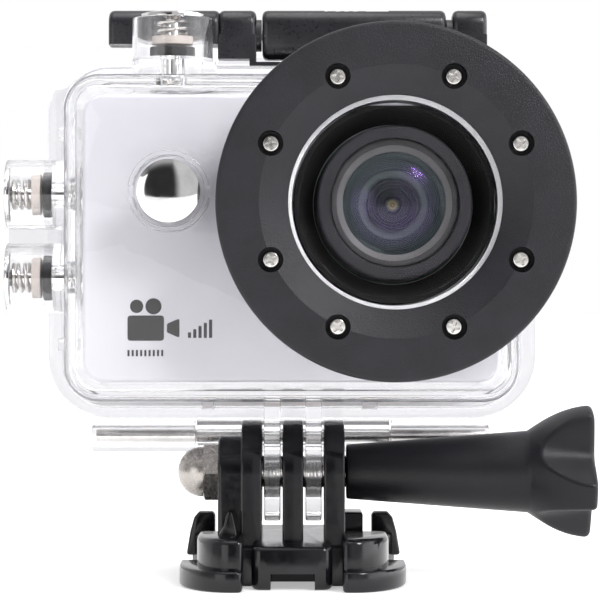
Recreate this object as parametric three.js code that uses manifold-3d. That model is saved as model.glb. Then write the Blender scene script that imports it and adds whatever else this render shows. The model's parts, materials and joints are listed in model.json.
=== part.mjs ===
// An action camera in its clear waterproof case, on a quick-release buckle.
// Millimetres. Seen from the front, X is to the right, Y to the back and Z up.
// The origin is the middle of the buckle's underside, straight below the tilt bolt.
import * as THREE from "three";
import { mergeVertices } from "three/addons/utils/BufferGeometryUtils.js";
import Module from "manifold-3d";

const wasm = await Module();
wasm.setup();

// ---------------------------------------------------------------- driving dimensions

const GAP = 0.3; // left between pieces that touch

const BOLT = { z: 15.5, r: 2.4, hole: 2.7, left: -12.6, right: 13.6 };
const FORK = { r: 7.5, prongs: [-6, 0, 6], thickness: 3 };
const FINGER = { r: 7.2, x: 3, thickness: 2.4 };

const BODY = { x: -0.2, z: 49.5, w: 59.4, h: 41, r: 3, front: -11, back: 10, skin: 1.3 };
const CAVITY = { w: 61.4, h: 43.4, r: 3, front: -11.8 };
const WALL = { w: 64.6, h: 46.6, r: 5, front: -13.6, bevel: 1.2 };
const STEP = { w: 68, h: 50.6, r: 7, z: 50, front: 1.5 };
const FLANGE = { w: 73.4, h: 55.6, r: 9.5, z: 50.7, front: 8.2, back: 11, bevel: 0.5 };
const DOOR = { front: 11.3, plate: 13, panel: 14.5, plug: 10.4 };
const HINGE = { y: 12, z: 20.1, r: 2.5, pin: 0.95, hole: 1.2, left: -30.4, right: 29.6, middle: 14.5 };

const LENS = { x: 14.2, z: 54.2 };
const RING = { r: 24.8, opening: 14.8, bevelStart: 18.8, front: -25, bevelEnd: -22.9, back: -20.1 };
const WINDOW = { r: 16.2, front: -21.6, back: -20.1 };
const PORT = { r: 22.6, bore: 14.3, front: -19.8 };
const SHROUD = { r: 14, front: -19.5, back: -12.1, mouth: 13.2, throat: 11.1, topFlat: 13.5, rightFlat: 13.8 };
const SCREW = { circle: 18.95, offAxis: 24.9, head: 1.18, shank: 0.85, counterbore: 1.75, hole: 1.15 };
const SCREEN = { w: 42, h: 32, r: 1 };
const BEZEL = { r: 10.8, front: -19.8, opening: 9, back: -8 };

const LATCH = { y: 7.4, z: 80.3, halfY: 2.8, halfZ: 3.7, r: 2.2, pin: 0.8, hole: 1.1 };
const LATCH_BLOCKS = {
  left: [-27.5, -5.5], lever: [-4.6, 22.8], right: [23.8, 28.9],
  raised: -11.2, front: 4.6, low: 75.6, footLow: 76.6, tie: 1,
};
const HOOK = { y: 12.8, z: 79.9, r: 1, stud: 0.6 };

// Each case button works along "axis", which points out of the case, from the floor of its guard at "at".
const TRAVEL_GAP = 0.8; // from a plunger's tip to the camera key that it presses
const CASE_BUTTONS = {
  front: {
    axis: [0, -1, 0], at: [-17.3, -14.6, 55.9], guard: 5.76, pocket: 5, rim: 4.4,
    seal: 0.6, collar: 0.5, cap: [4, 5], capR: 4.45, root: -1.6, wall: -2.9, touch: -3.25,
    spring: { wire: 0.2, turns: 1.5 },
  },
  top: {
    axis: [0, 0, 1], at: [-17.6, -2, 75.9], guard: 5.9, pocket: 5.2, rim: 5.9,
    seal: 1.3, collar: 1.2, cap: [5.7, 6.9], capR: 4.6, root: -3.4, wall: -4.8, touch: -5.5,
    spring: { wire: 0.25, turns: 2 },
  },
  upper: {
    axis: [-1, 0, 0], at: [-34.8, -2, 56.05], guard: 5.1, pocket: 4.5, rim: 6.9,
    seal: 1.2, collar: 1.3, cap: [6.1, 7.2], capR: 4, root: -2.6, wall: -4, touch: -4.55,
    spring: { wire: 0.25, turns: 2.5 },
  },
  lower: {
    axis: [-1, 0, 0], at: [-34.8, -2, 43.9], guard: 5.1, pocket: 4.5, rim: 6.9,
    seal: 1.2, collar: 1.3, cap: [6.1, 7.2], capR: 4, root: -2.6, wall: -4, touch: -4.55,
    spring: { wire: 0.25, turns: 2.5 },
  },
};
const STEM = { r: 0.95, hole: 1.3, clip: 1.9, clipRecess: 2.4 };
const SPRING = { r: 2, slack: 0.15 };
const KEY = { r: 2.4, hole: 2.7, lip: 3.3, proud: 0.35 };

const BUCKLE = {
  y: 0.5, length: 35, spine: 5.7, spineX: -0.1, deck: 15, deckLength: 17, top: 6.1, back: 15.5,
  lobeIn: 7, lobeBack: -3, tieFront: -12, tieTop: 5.4,
  flange: { outer: 16.3, near: -20, shoulder: -7.5, bottom: 0, top: 2.9, bevel: 0.3 },
  lobe: { outer: 13.7, near: -17.4, shoulder: -8.5, bottom: 0.5, top: 7.1, bevel: 0.5 },
  slot: { half: 3.1, top: 2.3, back: -6 },
};
const NUT = { r: 4.62, left: -13.1, right: -9.3, domeR: 3.65, boss: 5.3, bossLeft: -10.9 };
const ARM = { bottom: 0.4, top: 4.9, wingTop: 8.1, wingFront: 17.4, wingBack: 19.8 };
const KNOB = {
  left: 7.8, neck: 34.4, right: 43.8, smallR: 4, largeR: 6, headR: 9.95,
  lobes: 4, firstLobe: 109, tipWidth: 11, scoopR: 7, scoopFall: 1.2, socketEnd: 14,
};

// ---------------------------------------------------------------- solids

function solidFrom(geometry) {
  geometry.deleteAttribute("normal");
  geometry.deleteAttribute("uv");
  const merged = mergeVertices(geometry, 1e-4);
  const corners = merged.index.array;
  const kept = [];
  for (let i = 0; i < corners.length; i += 3) {
    const [a, b, c] = [corners[i], corners[i + 1], corners[i + 2]];
    if (a !== b && b !== c && c !== a) kept.push(a, b, c);
  }
  const build = (triVerts) =>
    new wasm.Manifold(
      new wasm.Mesh({ numProp: 3, vertProperties: merged.attributes.position.array, triVerts }),
    );
  const solid = build(new Uint32Array(kept));
  return solid.volume() < 0 ? build(new Uint32Array(kept.reverse())) : solid;
}

const join = (...solids) => solids.reduce((a, b) => a.add(b));
const cut = (solid, ...tools) => tools.reduce((a, b) => a.subtract(b), solid);

// Outlines are lists of points in a plane: X and Z for prismY, Y and Z for prismX, X and Y for prismZ.
function circle(r, u = 0, v = 0, sides = 24) {
  return Array.from({ length: sides }, (_, i) => {
    const angle = (2 * Math.PI * i) / sides;
    return new THREE.Vector2(u + r * Math.cos(angle), v + r * Math.sin(angle));
  });
}

function roundRect(w, h, r, u = 0, v = 0, steps = 3) {
  const points = [];
  for (let corner = 0; corner < 4; corner += 1) {
    const cu = u + (corner === 0 || corner === 3 ? 1 : -1) * (w / 2 - r);
    const cv = v + (corner < 2 ? 1 : -1) * (h / 2 - r);
    for (let i = 0; i <= steps; i += 1) {
      const angle = (Math.PI / 2) * (corner + i / steps);
      points.push(new THREE.Vector2(cu + r * Math.cos(angle), cv + r * Math.sin(angle)));
    }
  }
  return points;
}

const span = (u0, u1, v0, v1) =>
  [[u0, v0], [u1, v0], [u1, v1], [u0, v1]].map(([u, v]) => new THREE.Vector2(u, v));
const polygon = (pairs) => pairs.map(([u, v]) => new THREE.Vector2(u, v));

function extrude(outline, depth, bevel) {
  return new THREE.ExtrudeGeometry(new THREE.Shape(outline), {
    depth: depth - 2 * bevel,
    bevelEnabled: bevel > 0,
    bevelThickness: bevel,
    bevelSize: bevel,
    bevelOffset: -bevel,
    bevelSegments: 1,
  }).translate(0, 0, bevel);
}

const X_AXIS = new THREE.Vector3(1, 0, 0);
const Y_AXIS = new THREE.Vector3(0, 1, 0);
const Z_AXIS = new THREE.Vector3(0, 0, 1);
const TO_X = new THREE.Matrix4().makeBasis(Y_AXIS, Z_AXIS, X_AXIS);

const prismX = (outline, x0, x1, bevel = 0) =>
  solidFrom(extrude(outline, x1 - x0, bevel).applyMatrix4(TO_X).translate(x0, 0, 0));
const prismY = (outline, y0, y1, bevel = 0) =>
  solidFrom(extrude(outline, y1 - y0, bevel).rotateX(Math.PI / 2).translate(0, y1, 0));
const prismZ = (outline, z0, z1, bevel = 0) =>
  solidFrom(extrude(outline, z1 - z0, bevel).translate(0, 0, z0));

// A profile of [radius, height] pairs turned round the line from "at" along "axis".
function turned(profile, axis, at, sides = 24) {
  const points = profile.map(([r, t]) => new THREE.Vector2(r, t));
  const towards = new THREE.Quaternion().setFromUnitVectors(Y_AXIS, new THREE.Vector3(...axis));
  return solidFrom(
    new THREE.LatheGeometry(points, sides).applyQuaternion(towards).translate(...at),
  );
}

const rod = (r, from, to, axis, at, sides = 24) =>
  turned([[0, from], [r, from], [r, to], [0, to]], axis, at, sides);
const washer = (inner, outer, from, to, axis, at, sides = 12) =>
  turned([[inner, from], [outer, from], [outer, to], [inner, to], [inner, from]], axis, at, sides);

// The camera's and the case's shared outline, as wide and high as "size" says.
const frameOutline = (size, z = BODY.z) => roundRect(size.w, size.h, size.r, BODY.x, z);

const LENS_AT = [LENS.x, 0, LENS.z];
const BACKWARDS = [0, 1, 0];
const RIGHTWARDS = [1, 0, 0];
const BOLT_AT = [0, 0, BOLT.z];
const LATCH_AT = [0, LATCH.y, LATCH.z];

// ---------------------------------------------------------------- finishes

const finishes = {
  clear: { color: 0xebeaef, roughness: 0.08, metalness: 0 },
  silver: { color: 0xdcdce3, roughness: 0.38, metalness: 0.35 },
  blackSatin: { color: 0x26262b, roughness: 0.5, metalness: 0 },
  blackGloss: { color: 0x1f1f24, roughness: 0.25, metalness: 0 },
  blackRubber: { color: 0x1a1a1c, roughness: 0.85, metalness: 0 },
  steel: { color: 0xc9c7c4, roughness: 0.22, metalness: 1 },
  chrome: { color: 0xeeeeee, roughness: 0.05, metalness: 1 },
  collar: { color: 0xd8d0c8, roughness: 0.6, metalness: 0 },
  gasket: { color: 0xe6e6ea, roughness: 0.7, metalness: 0 },
  glass: { color: 0x3c4a4e, roughness: 0.03, metalness: 0 },
  board: { color: 0x1d5a3a, roughness: 0.6, metalness: 0 },
  battery: { color: 0x8a8d92, roughness: 0.5, metalness: 0.2 },
};

const camera = new THREE.Group();

function place(name, solid, finish) {
  const mesh = solid.getMesh();
  const geometry = new THREE.BufferGeometry();
  const positions = new Float32Array((mesh.vertProperties.length / mesh.numProp) * 3);
  for (let i = 0; i < positions.length / 3; i += 1) {
    for (let k = 0; k < 3; k += 1) positions[3 * i + k] = mesh.vertProperties[mesh.numProp * i + k];
  }
  geometry.setAttribute("position", new THREE.BufferAttribute(positions, 3));
  geometry.setIndex(Array.from(mesh.triVerts));
  geometry.computeVertexNormals();
  const placed = new THREE.Mesh(geometry, new THREE.MeshStandardMaterial(finishes[finish]));
  placed.name = name;
  camera.add(placed);
}

// ---------------------------------------------------------------- case

const screwPlaces = [];
for (let quarter = 0; quarter < 4; quarter += 1) {
  for (const side of [-1, 1]) {
    const angle = THREE.MathUtils.degToRad(90 * quarter + side * SCREW.offAxis);
    screwPlaces.push([
      LENS.x + SCREW.circle * Math.cos(angle),
      0,
      LENS.z + SCREW.circle * Math.sin(angle),
    ]);
  }
}

const caseSkin = () =>
  join(
    prismY(frameOutline(WALL), WALL.front, FLANGE.front + 1.4, WALL.bevel),
    prismY(frameOutline(STEP, STEP.z), STEP.front, FLANGE.front + 1.4, 0.5),
    prismY(frameOutline(FLANGE, FLANGE.z), FLANGE.front, FLANGE.back, FLANGE.bevel),
  );

// The round guard of a button and the boss that its plunger runs in.
const buttonGuard = (b) =>
  turned(
    [[0, b.root], [b.guard, b.root], [b.guard, b.rim - 0.4], [b.guard - 0.4, b.rim],
      [b.pocket, b.rim], [b.pocket, 0], [0, 0]],
    b.axis, b.at, 20,
  );
const buttonBore = (b) =>
  join(
    rod(STEM.hole, b.wall - 1, 1, b.axis, b.at, 12),
    rod(STEM.clipRecess, b.wall - 1, b.wall + 1.7, b.axis, b.at, 12),
  );

function mountFingers() {
  const side = (x) =>
    join(
      rod(FINGER.r, x - FINGER.thickness / 2, x + FINGER.thickness / 2, RIGHTWARDS, BOLT_AT, 28),
      prismX(span(-FINGER.r, FINGER.r, BOLT.z, BODY.z - CAVITY.h / 2 - 0.8),
        x - FINGER.thickness / 2, x + FINGER.thickness / 2),
    );
  return join(side(-FINGER.x), side(FINGER.x));
}

// The hinge eyes of one half of the case, each with the web that joins it to that half.
function hingeEyes(spans, webFront, webBack) {
  const eyes = spans.map(([x0, x1]) =>
    join(
      rod(HINGE.r, x0, x1, RIGHTWARDS, [0, HINGE.y, HINGE.z], 20),
      prismX(span(webFront, webBack, HINGE.z, FLANGE.z - FLANGE.h / 2 + 1.5), x0, x1),
    ),
  );
  return join(...eyes);
}

const hingeBore = () => rod(HINGE.hole, -40, 40, RIGHTWARDS, [0, HINGE.y, HINGE.z], 12);

// Small upright ribs that stiffen the walls between the front and the flange.
function caseRibs() {
  const spots = [
    [-13.2, -11.1, 70, 75.2],
    [-13.2, -11.4, 24.9, 28],
    [9.9, 12.2, 24.9, 28],
    [-34, -32, 64, 65.7],
    [-34, -32, 33.4, 35.1],
  ];
  return join(...spots.map((spot) => prismY(span(...spot), -6, FLANGE.front + 0.5)));
}

function frontCase() {
  const guards = Object.values(CASE_BUTTONS).map(buttonGuard);
  const { upper, lower } = CASE_BUTTONS;
  const guardWeb = prismZ(span(-41.4, -32, -2.8, -1.2), lower.at[2], upper.at[2]);
  const port = rod(PORT.r, PORT.front, CAVITY.front - 0.4, BACKWARDS, LENS_AT, 40);
  const solid = join(
    caseSkin(), ...guards, guardWeb, port, mountFingers(), caseRibs(),
    hingeEyes([[-HINGE.middle, HINGE.middle]], FLANGE.front + 0.4, FLANGE.back),
  );
  const cavity = prismY(frameOutline(CAVITY), CAVITY.front, FLANGE.back + 1);
  const pockets = Object.values(CASE_BUTTONS).map((b) =>
    rod(b.pocket, 0, b.rim + 1, b.axis, b.at, 20));
  const bores = Object.values(CASE_BUTTONS).map(buttonBore);
  const notches = [-1, 1].map((side) => {
    const { at, guard, rim } = CASE_BUTTONS.front;
    const x = at[0] + side * (guard - 0.4);
    return prismY(span(x - 0.6, x + 0.6, at[2] - 0.8, at[2] + 0.8), at[1] - rim - 1, at[1] - rim + 1.2);
  });
  const screwHoles = screwPlaces.map((at) =>
    rod(SCREW.hole, PORT.front - 1, PORT.front + 4.5, BACKWARDS, at, 8));
  return cut(
    solid, cavity, ...pockets, ...bores, ...notches, ...screwHoles,
    rod(PORT.bore, PORT.front - 1, CAVITY.front + 1, BACKWARDS, LENS_AT, 40),
    rod(BOLT.hole, -10, 10, RIGHTWARDS, BOLT_AT, 16),
    hingeBore(),
    prismX(span(FLANGE.front - 0.4, FLANGE.back + 1, LATCH.z - LATCH.halfZ - 0.45, 90),
      LATCH_BLOCKS.raised, LATCH_BLOCKS.right[1] + GAP),
    // room for the door's outer hinge eyes
    ...[[HINGE.left - 1, -HINGE.middle], [HINGE.middle, HINGE.right + 1]].map(([x0, x1]) =>
      prismX(circle(HINGE.r + GAP, HINGE.y, HINGE.z, 20), x0, x1)),
  );
}

function lensRing() {
  const body = turned(
    [[RING.opening, RING.bevelEnd], [RING.bevelStart, RING.front], [RING.r - 0.6, RING.front],
      [RING.r, RING.front + 0.6], [RING.r, RING.back], [WINDOW.r + GAP, RING.back],
      [WINDOW.r + GAP, WINDOW.front - GAP], [RING.opening, WINDOW.front - GAP],
      [RING.opening, RING.bevelEnd]],
    BACKWARDS, LENS_AT, 48,
  );
  const holes = screwPlaces.map((at) =>
    join(
      rod(SCREW.hole, RING.front - 1, RING.back + 1, BACKWARDS, at, 8),
      rod(SCREW.counterbore, RING.front - 1, RING.front + 2.6, BACKWARDS, at, 12),
    ));
  return cut(body, ...holes);
}

function ringScrew(at) {
  const seat = RING.front + 2.3;
  const body = join(
    rod(SCREW.head, seat - 1.1, seat, BACKWARDS, at, 10),
    rod(SCREW.shank, seat - 0.2, PORT.front + 3.8, BACKWARDS, at, 6),
  );
  const slot = (w, h) => prismY(span(at[0] - w, at[0] + w, at[2] - h, at[2] + h), seat - 2, seat - 0.6);
  return cut(body, join(slot(0.75, 0.17), slot(0.17, 0.75)));
}

function lensShroud() {
  const { r, front, back, mouth, throat } = SHROUD;
  const tube = turned(
    [[mouth, front], [r, front], [r, back], [throat, back], [mouth, front]],
    BACKWARDS, LENS_AT, 32,
  );
  return cut(
    tube,
    prismY(span(LENS.x - r, LENS.x + r, LENS.z + SHROUD.topFlat, LENS.z + r + 1), front - 1, back + 1),
    prismY(span(LENS.x + SHROUD.rightFlat, LENS.x + r + 1, LENS.z - r, LENS.z + r), front - 1, back + 1),
  );
}

function rearDoor() {
  const sized = (overW, overH, r) => ({ w: CAVITY.w + overW, h: CAVITY.h + overH, r });
  const plug = sized(-0.8, -0.8, 2.6);
  const plugHollow = sized(-4.8, -4.8, 1.5);
  const panel = sized(2.6, 2.6, 6);
  const panelHollow = sized(-2.4, -2.4, 4);
  const outerEyes = [[HINGE.left, -HINGE.middle - GAP], [HINGE.middle + GAP, HINGE.right]];
  const solid = join(
    prismY(frameOutline(FLANGE, FLANGE.z), DOOR.front, DOOR.plate, FLANGE.bevel),
    prismY(frameOutline(panel), DOOR.plate - 1, DOOR.panel, 0.8),
    prismY(frameOutline(plug), DOOR.plug, DOOR.front + 0.5),
    hingeEyes(outerEyes, DOOR.front + 0.1, DOOR.plate),
  );
  const middleEye = prismX(
    circle(HINGE.r + GAP, HINGE.y, HINGE.z, 20), -HINGE.middle - GAP, HINGE.middle + GAP);
  return cut(
    solid,
    prismY(frameOutline(plugHollow), DOOR.plug - 1, DOOR.front + 0.2),
    prismY(frameOutline(panelHollow), DOOR.front - 0.5, DOOR.plate),
    gasketSpace(GAP),
    middleEye,
    hingeBore(),
  );
}

// A rounded-rectangular band that lies round the cavity's mouth.
function gasketSpace(clearance) {
  const outer = { w: CAVITY.w + 6, h: CAVITY.h + 6, r: 5 };
  const inner = { w: CAVITY.w + 3, h: CAVITY.h + 3, r: 4 };
  const grow = (size, by) => ({ w: size.w + 2 * by, h: size.h + 2 * by, r: size.r + by });
  const front = FLANGE.back + 0.15 - clearance;
  return cut(
    prismY(frameOutline(grow(outer, clearance)), front, DOOR.front + 0.6 + clearance),
    prismY(frameOutline(grow(inner, -clearance)), front - 1, DOOR.front + 2),
  );
}

// ---------------------------------------------------------------- latch

const latchOutline = () =>
  roundRect(2 * LATCH.halfY, 2 * LATCH.halfZ, LATCH.r, LATCH.y, LATCH.z, 5);

// Two blocks on the flange's front, tied together by a bar that runs under the lever.
function latchBase() {
  const { left, right, raised, front, low, footLow, tie } = LATCH_BLOCKS;
  const back = FLANGE.front - 0.75;
  const barTop = LATCH.z - LATCH.halfZ - 0.45;
  const flangeTop = FLANGE.z + FLANGE.h / 2;
  const solid = join(
    prismX(latchOutline(), left[0], left[1], 0.7),
    prismX(latchOutline(), right[0], right[1], 0.7),
    prismX(span(front, back, low, barTop), left[1] - tie, right[1]),
    prismX(span(front, back, footLow, LATCH.z), raised, left[1]),
    prismX(span(front, back, low, LATCH.z), left[1] - tie, left[1]),
    prismX(span(front, back, low, LATCH.z), right[0], right[1]),
  );
  return cut(
    solid,
    prismX(span(0, 12, 70, flangeTop + GAP), left[0] - 1, raised),
    rod(LATCH.hole, left[1] - 5, right[0] + 4, RIGHTWARDS, LATCH_AT, 16),
  );
}

function latchLever() {
  const [x0, x1] = LATCH_BLOCKS.lever;
  const top = LATCH.z + LATCH.halfZ;
  const cheek = span(HOOK.y - 1.3, HOOK.y + 1.3, HOOK.z - 0.95, top - 1);
  const solid = join(
    prismX(latchOutline(), x0, x1, 0.7),
    prismX(span(LATCH.y, HOOK.y + 0.2, top - 2.6, top - 0.1), x0 + 0.6, x1 - 0.6, 0.4),
    prismX(cheek, x0 + 0.6, x0 + 2.2),
    prismX(cheek, x1 - 2.2, x1 - 0.6),
  );
  return cut(
    solid,
    rod(LATCH.hole, x0 - 1, x1 + 1, RIGHTWARDS, LATCH_AT, 16),
    rod(HOOK.stud + GAP, x0 - 1, x1 + 1, RIGHTWARDS, [0, HOOK.y, HOOK.z], 14),
    prismZ(span(4.7, 14.3, 5.9, 10.3), top - 1.3, top + 1),
  );
}

function latchHook() {
  const [x0, x1] = LATCH_BLOCKS.lever;
  const [left, right] = [x0 + 2.5, x1 - 2.5];
  const tip = polygon([
    [HOOK.y, HOOK.z - HOOK.r], [16.4, HOOK.z - HOOK.r], [16.9, HOOK.z - 0.5], [16.9, HOOK.z + 0.5],
    [16.2, HOOK.z + HOOK.r], [HOOK.y, HOOK.z + HOOK.r]]);
  return join(
    rod(HOOK.r, left, right, RIGHTWARDS, [0, HOOK.y, HOOK.z], 20),
    rod(HOOK.stud, left - 1.4, right + 1.4, RIGHTWARDS, [0, HOOK.y, HOOK.z], 14),
    prismX(tip, left, right, 0.2),
  );
}

function latchLock() {
  const top = LATCH.z + LATCH.halfZ;
  const slider = prismZ(span(5, 11, 6.2, 10), top - 1, top - 0.1, 0.2);
  const grooves = [6.4, 7.7, 9].map((x) => prismZ(span(x, x + 0.6, 5, 11), top - 0.4, top + 1));
  return cut(slider, ...grooves);
}

// ---------------------------------------------------------------- buttons

function plunger(b) {
  const [under, capTop] = b.cap;
  const tip = b.touch + TRAVEL_GAP;
  const groove = tip + 0.35;
  return turned(
    [[0, tip], [STEM.r, tip], [STEM.r, groove], [0.6, groove], [0.6, groove + 0.7],
      [STEM.r, groove + 0.7], [STEM.r, under], [b.capR, under], [b.capR, capTop - 0.7],
      [b.capR - 0.5, capTop - 0.25], [b.capR * 0.6, capTop - 0.06], [0, capTop]],
    b.axis, b.at, 16,
  );
}

function coilSpring(b) {
  const { wire, turns } = b.spring;
  const low = b.seal + b.collar + 2 * GAP + SPRING.slack + wire;
  const high = b.cap[0] - SPRING.slack - wire;
  class Helix extends THREE.Curve {
    getPoint(t) {
      const angle = 2 * Math.PI * turns * t;
      return new THREE.Vector3(
        SPRING.r * Math.cos(angle), low + (high - low) * t, SPRING.r * Math.sin(angle));
    }
  }
  const coil = new THREE.ExtrudeGeometry(new THREE.Shape(circle(wire, 0, 0, 5)), {
    steps: 8 * turns,
    extrudePath: new Helix(),
  });
  const towards = new THREE.Quaternion().setFromUnitVectors(Y_AXIS, new THREE.Vector3(...b.axis));
  return solidFrom(coil.applyQuaternion(towards).translate(...b.at));
}

function placeButton(side, b) {
  const tip = b.touch + TRAVEL_GAP;
  const collarFrom = b.seal + 2 * GAP;
  const name = `${side}_button`;
  place(`${name}_plunger`, plunger(b), "chrome");
  place(`${name}_spring`, coilSpring(b), "steel");
  place(`${name}_collar`,
    washer(STEM.hole, 3, collarFrom, collarFrom + b.collar, b.axis, b.at), "collar");
  place(`${name}_seal`, washer(STEM.hole, 3.3, GAP, GAP + b.seal, b.axis, b.at), "blackRubber");
  place(`${name}_clip`,
    washer(0.85, STEM.clip, tip + 0.5, tip + 0.9, b.axis, b.at, 12), "steel");
}

// The camera's own key under a case button, with a lip that keeps it inside the body.
function cameraKey(b) {
  const outerFace = b.touch;
  const skinInside = outerFace - KEY.proud - BODY.skin;
  return turned(
    [[0, skinInside - 0.8], [KEY.lip, skinInside - 0.8], [KEY.lip, skinInside - GAP],
      [KEY.r, skinInside - GAP], [KEY.r, outerFace - 0.1], [KEY.r - 0.1, outerFace], [0, outerFace]],
    b.axis, b.at, 12,
  );
}
const keyHole = (b) => rod(KEY.hole, b.touch - 3, b.touch + 1, b.axis, b.at, 12);

// ---------------------------------------------------------------- camera

const insideOf = (size) => ({
  w: size.w - 2 * BODY.skin, h: size.h - 2 * BODY.skin, r: size.r - BODY.skin });

function cameraFrontCover() {
  const back = -8.2;
  return cut(
    prismY(frameOutline(BODY), BODY.front, back, 0.4),
    prismY(frameOutline(insideOf(BODY)), BODY.front + BODY.skin, back + 1),
    rod(BEZEL.r + GAP, BODY.front - 1, back + 1, BACKWARDS, LENS_AT, 40),
    keyHole(CASE_BUTTONS.front),
  );
}

function cameraMidFrame() {
  const { top, upper, lower } = CASE_BUTTONS;
  return cut(
    prismY(frameOutline(BODY), -7.9, 6.9),
    prismY(frameOutline(insideOf(BODY)), -9, 8),
    ...[top, upper, lower].map(keyHole),
  );
}

function cameraBackCover() {
  return cut(
    prismY(frameOutline(BODY), 7.2, BODY.back, 0.4),
    prismY(frameOutline(insideOf(BODY)), 6, 8.3),
    prismY(roundRect(SCREEN.w + 2 * GAP, SCREEN.h + 2 * GAP, SCREEN.r, BODY.x, BODY.z), 8.9, 11),
    prismY(roundRect(SCREEN.w - 3, SCREEN.h - 3, SCREEN.r, BODY.x, BODY.z), 8, 11),
  );
}

const lensBezel = () =>
  turned(
    [[BEZEL.opening, -17.9], [BEZEL.opening, BEZEL.front + 0.3], [BEZEL.opening + 0.2, BEZEL.front],
      [BEZEL.r - 0.5, BEZEL.front], [BEZEL.r, BEZEL.front + 0.6], [BEZEL.r, BEZEL.back],
      [BEZEL.opening + 0.4, BEZEL.back], [BEZEL.opening + 0.4, -17.9], [BEZEL.opening, -17.9]],
    BACKWARDS, LENS_AT, 32,
  );

const lensBarrel = () =>
  turned(
    [[7.5, -17.6], [8.05, -18.4], [8.7, -18.4], [8.7, -17.5], [9, -17.5], [9, -4], [6, -4], [6, -2],
      [3.6, -2], [3.6, -9], [4.9, -11.5], [4.9, -13.2], [7.5, -15.2], [7.5, -17.6]],
    BACKWARDS, LENS_AT, 24,
  );

// The front element, a deep meniscus that bulges forwards out of its mount.
const frontLens = () =>
  turned(
    [[0, -18.2], [2.4, -18.05], [4.6, -17.6], [6.2, -16.95], [7.15, -16.3], [7.15, -15.3],
      [5, -14.4], [4.4, -15], [2.6, -15.7], [0, -16]],
    BACKWARDS, LENS_AT, 24,
  );

// ---------------------------------------------------------------- mount

const mirrored = (pairs, side) => polygon(pairs.map(([x, y]) => [side * x, y]));

// A lobe's near end is a quarter of an ellipse from its outer edge to its inner corner.
function buckleLobe(side, { outer, near, shoulder, bottom, top, bevel }) {
  const inner = BUCKLE.lobeIn;
  const pairs = [[inner, BUCKLE.lobeBack], [inner, near + 0.8], [inner + 0.8, near]];
  const [curveFrom, steps] = [inner + 1.5, 7];
  for (let i = 0; i <= steps; i += 1) {
    const angle = (Math.PI / 2) * (1 - i / steps);
    pairs.push([
      curveFrom + (outer - curveFrom) * Math.cos(angle),
      shoulder + (near - shoulder) * Math.sin(angle),
    ]);
  }
  pairs.push([outer, BUCKLE.lobeBack]);
  return prismZ(mirrored(pairs, side), bottom, top, bevel);
}

// A prong or boss: a disc round the bolt on a foot that widens downwards to the deck.
function forkCheek(r, spread, footZ, x0, x1, sides) {
  const foot = polygon([
    [-r, BOLT.z], [-r - spread, footZ], [r + spread, footZ], [r, BOLT.z]]);
  return join(rod(r, x0, x1, RIGHTWARDS, BOLT_AT, sides), prismX(foot, x0, x1));
}

function buckle() {
  const { y, length, spine, spineX, deck, deckLength, top, back, lobeIn, lobeBack, slot } = BUCKLE;
  const prongs = FORK.prongs.map((x) =>
    forkCheek(FORK.r, 0.6, 4, x - FORK.thickness / 2, x + FORK.thickness / 2, 28));
  const tie = [
    [spine - 1, BUCKLE.tieFront], [lobeIn + 1, BUCKLE.tieFront], [lobeIn + 1, lobeBack], [spine - 1, lobeBack]];
  const lobes = [-1, 1].map((side) =>
    join(
      buckleLobe(side, BUCKLE.flange),
      buckleLobe(side, BUCKLE.lobe),
      prismZ(mirrored(tie, side), 0, BUCKLE.tieTop),
    ));
  const stopBlock = prismZ(span(7, 10.3, 1.5, 7.5), 4.5, 9.4, 0.3);
  const fin = prismY(
    polygon([[-10.9, 6.5], [-9.9, 8.2], [-9.2, 10.3], [-8.7, 10.2], [-8.2, 8.2], [-7.9, 6.5]]), -9, -5, 0.2);
  const solid = join(
    prismZ(roundRect(2 * spine, length, 1.5, spineX, y), 0, top, 0.5),
    prismZ(roundRect(deck, deckLength, 1, 0, y), 1, top, 0.4),
    prismZ(roundRect(13, 8, 1.5, 0, back), 0, 5, 0.5),
    ...prongs, ...lobes, stopBlock, fin,
    forkCheek(NUT.boss, 0.6, 5.5, NUT.bossLeft, NUT.bossLeft + 3.9, 24),
  );
  return cut(
    solid,
    rod(BOLT.hole, NUT.bossLeft - 1, 9, RIGHTWARDS, BOLT_AT, 16),
    rod(NUT.r + GAP, NUT.bossLeft - 1, NUT.right + GAP, RIGHTWARDS, BOLT_AT, 6),
    prismY(span(-slot.half, slot.half, -1, slot.top), -length, slot.back),
  );
}

// A spring arm with the finger tab at its free end.
function buckleArm(side) {
  const strip = mirrored(
    [[8.6, -2.4], [12.6, -2.4], [14.1, 2], [14.3, 15.2], [15.6, 18.4], [15.2, 19.6], [12.6, 19.6],
      [11.5, 16], [11.3, 4], [10.8, 1.5], [8.6, 1.1]], side);
  const wing = mirrored(
    [[12, 1.4], [16.5, 1.4], [15.9, 5], [15.3, 7.2], [14.5, ARM.wingTop], [12.4, ARM.wingTop],
      [12, 7.6]], side);
  return join(
    prismZ(strip, ARM.bottom, ARM.top, 0.3),
    prismY(wing, ARM.wingFront, ARM.wingBack, 0.3),
  );
}

function acornNut() {
  const { r, left, right, domeR } = NUT;
  const hexagon = rod(r, left, right, RIGHTWARDS, BOLT_AT, 6);
  const chamfer = turned(
    [[0, left], [r - 0.5, left], [r, left + 0.4], [r, right], [0, right]], RIGHTWARDS, BOLT_AT, 24);
  const dome = turned(
    [[0, left - 3.8], [1.4, left - 3.55], [2.6, left - 2.85], [domeR - 0.3, left - 1.8],
      [domeR, left - 0.5], [domeR, left + 1], [0, left + 1]],
    RIGHTWARDS, BOLT_AT, 20);
  const bore = rod(BOLT.r + GAP, BOLT.left - GAP, right + 1, RIGHTWARDS, BOLT_AT, 16);
  return cut(join(hexagon.intersect(chamfer), dome), bore);
}

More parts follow.
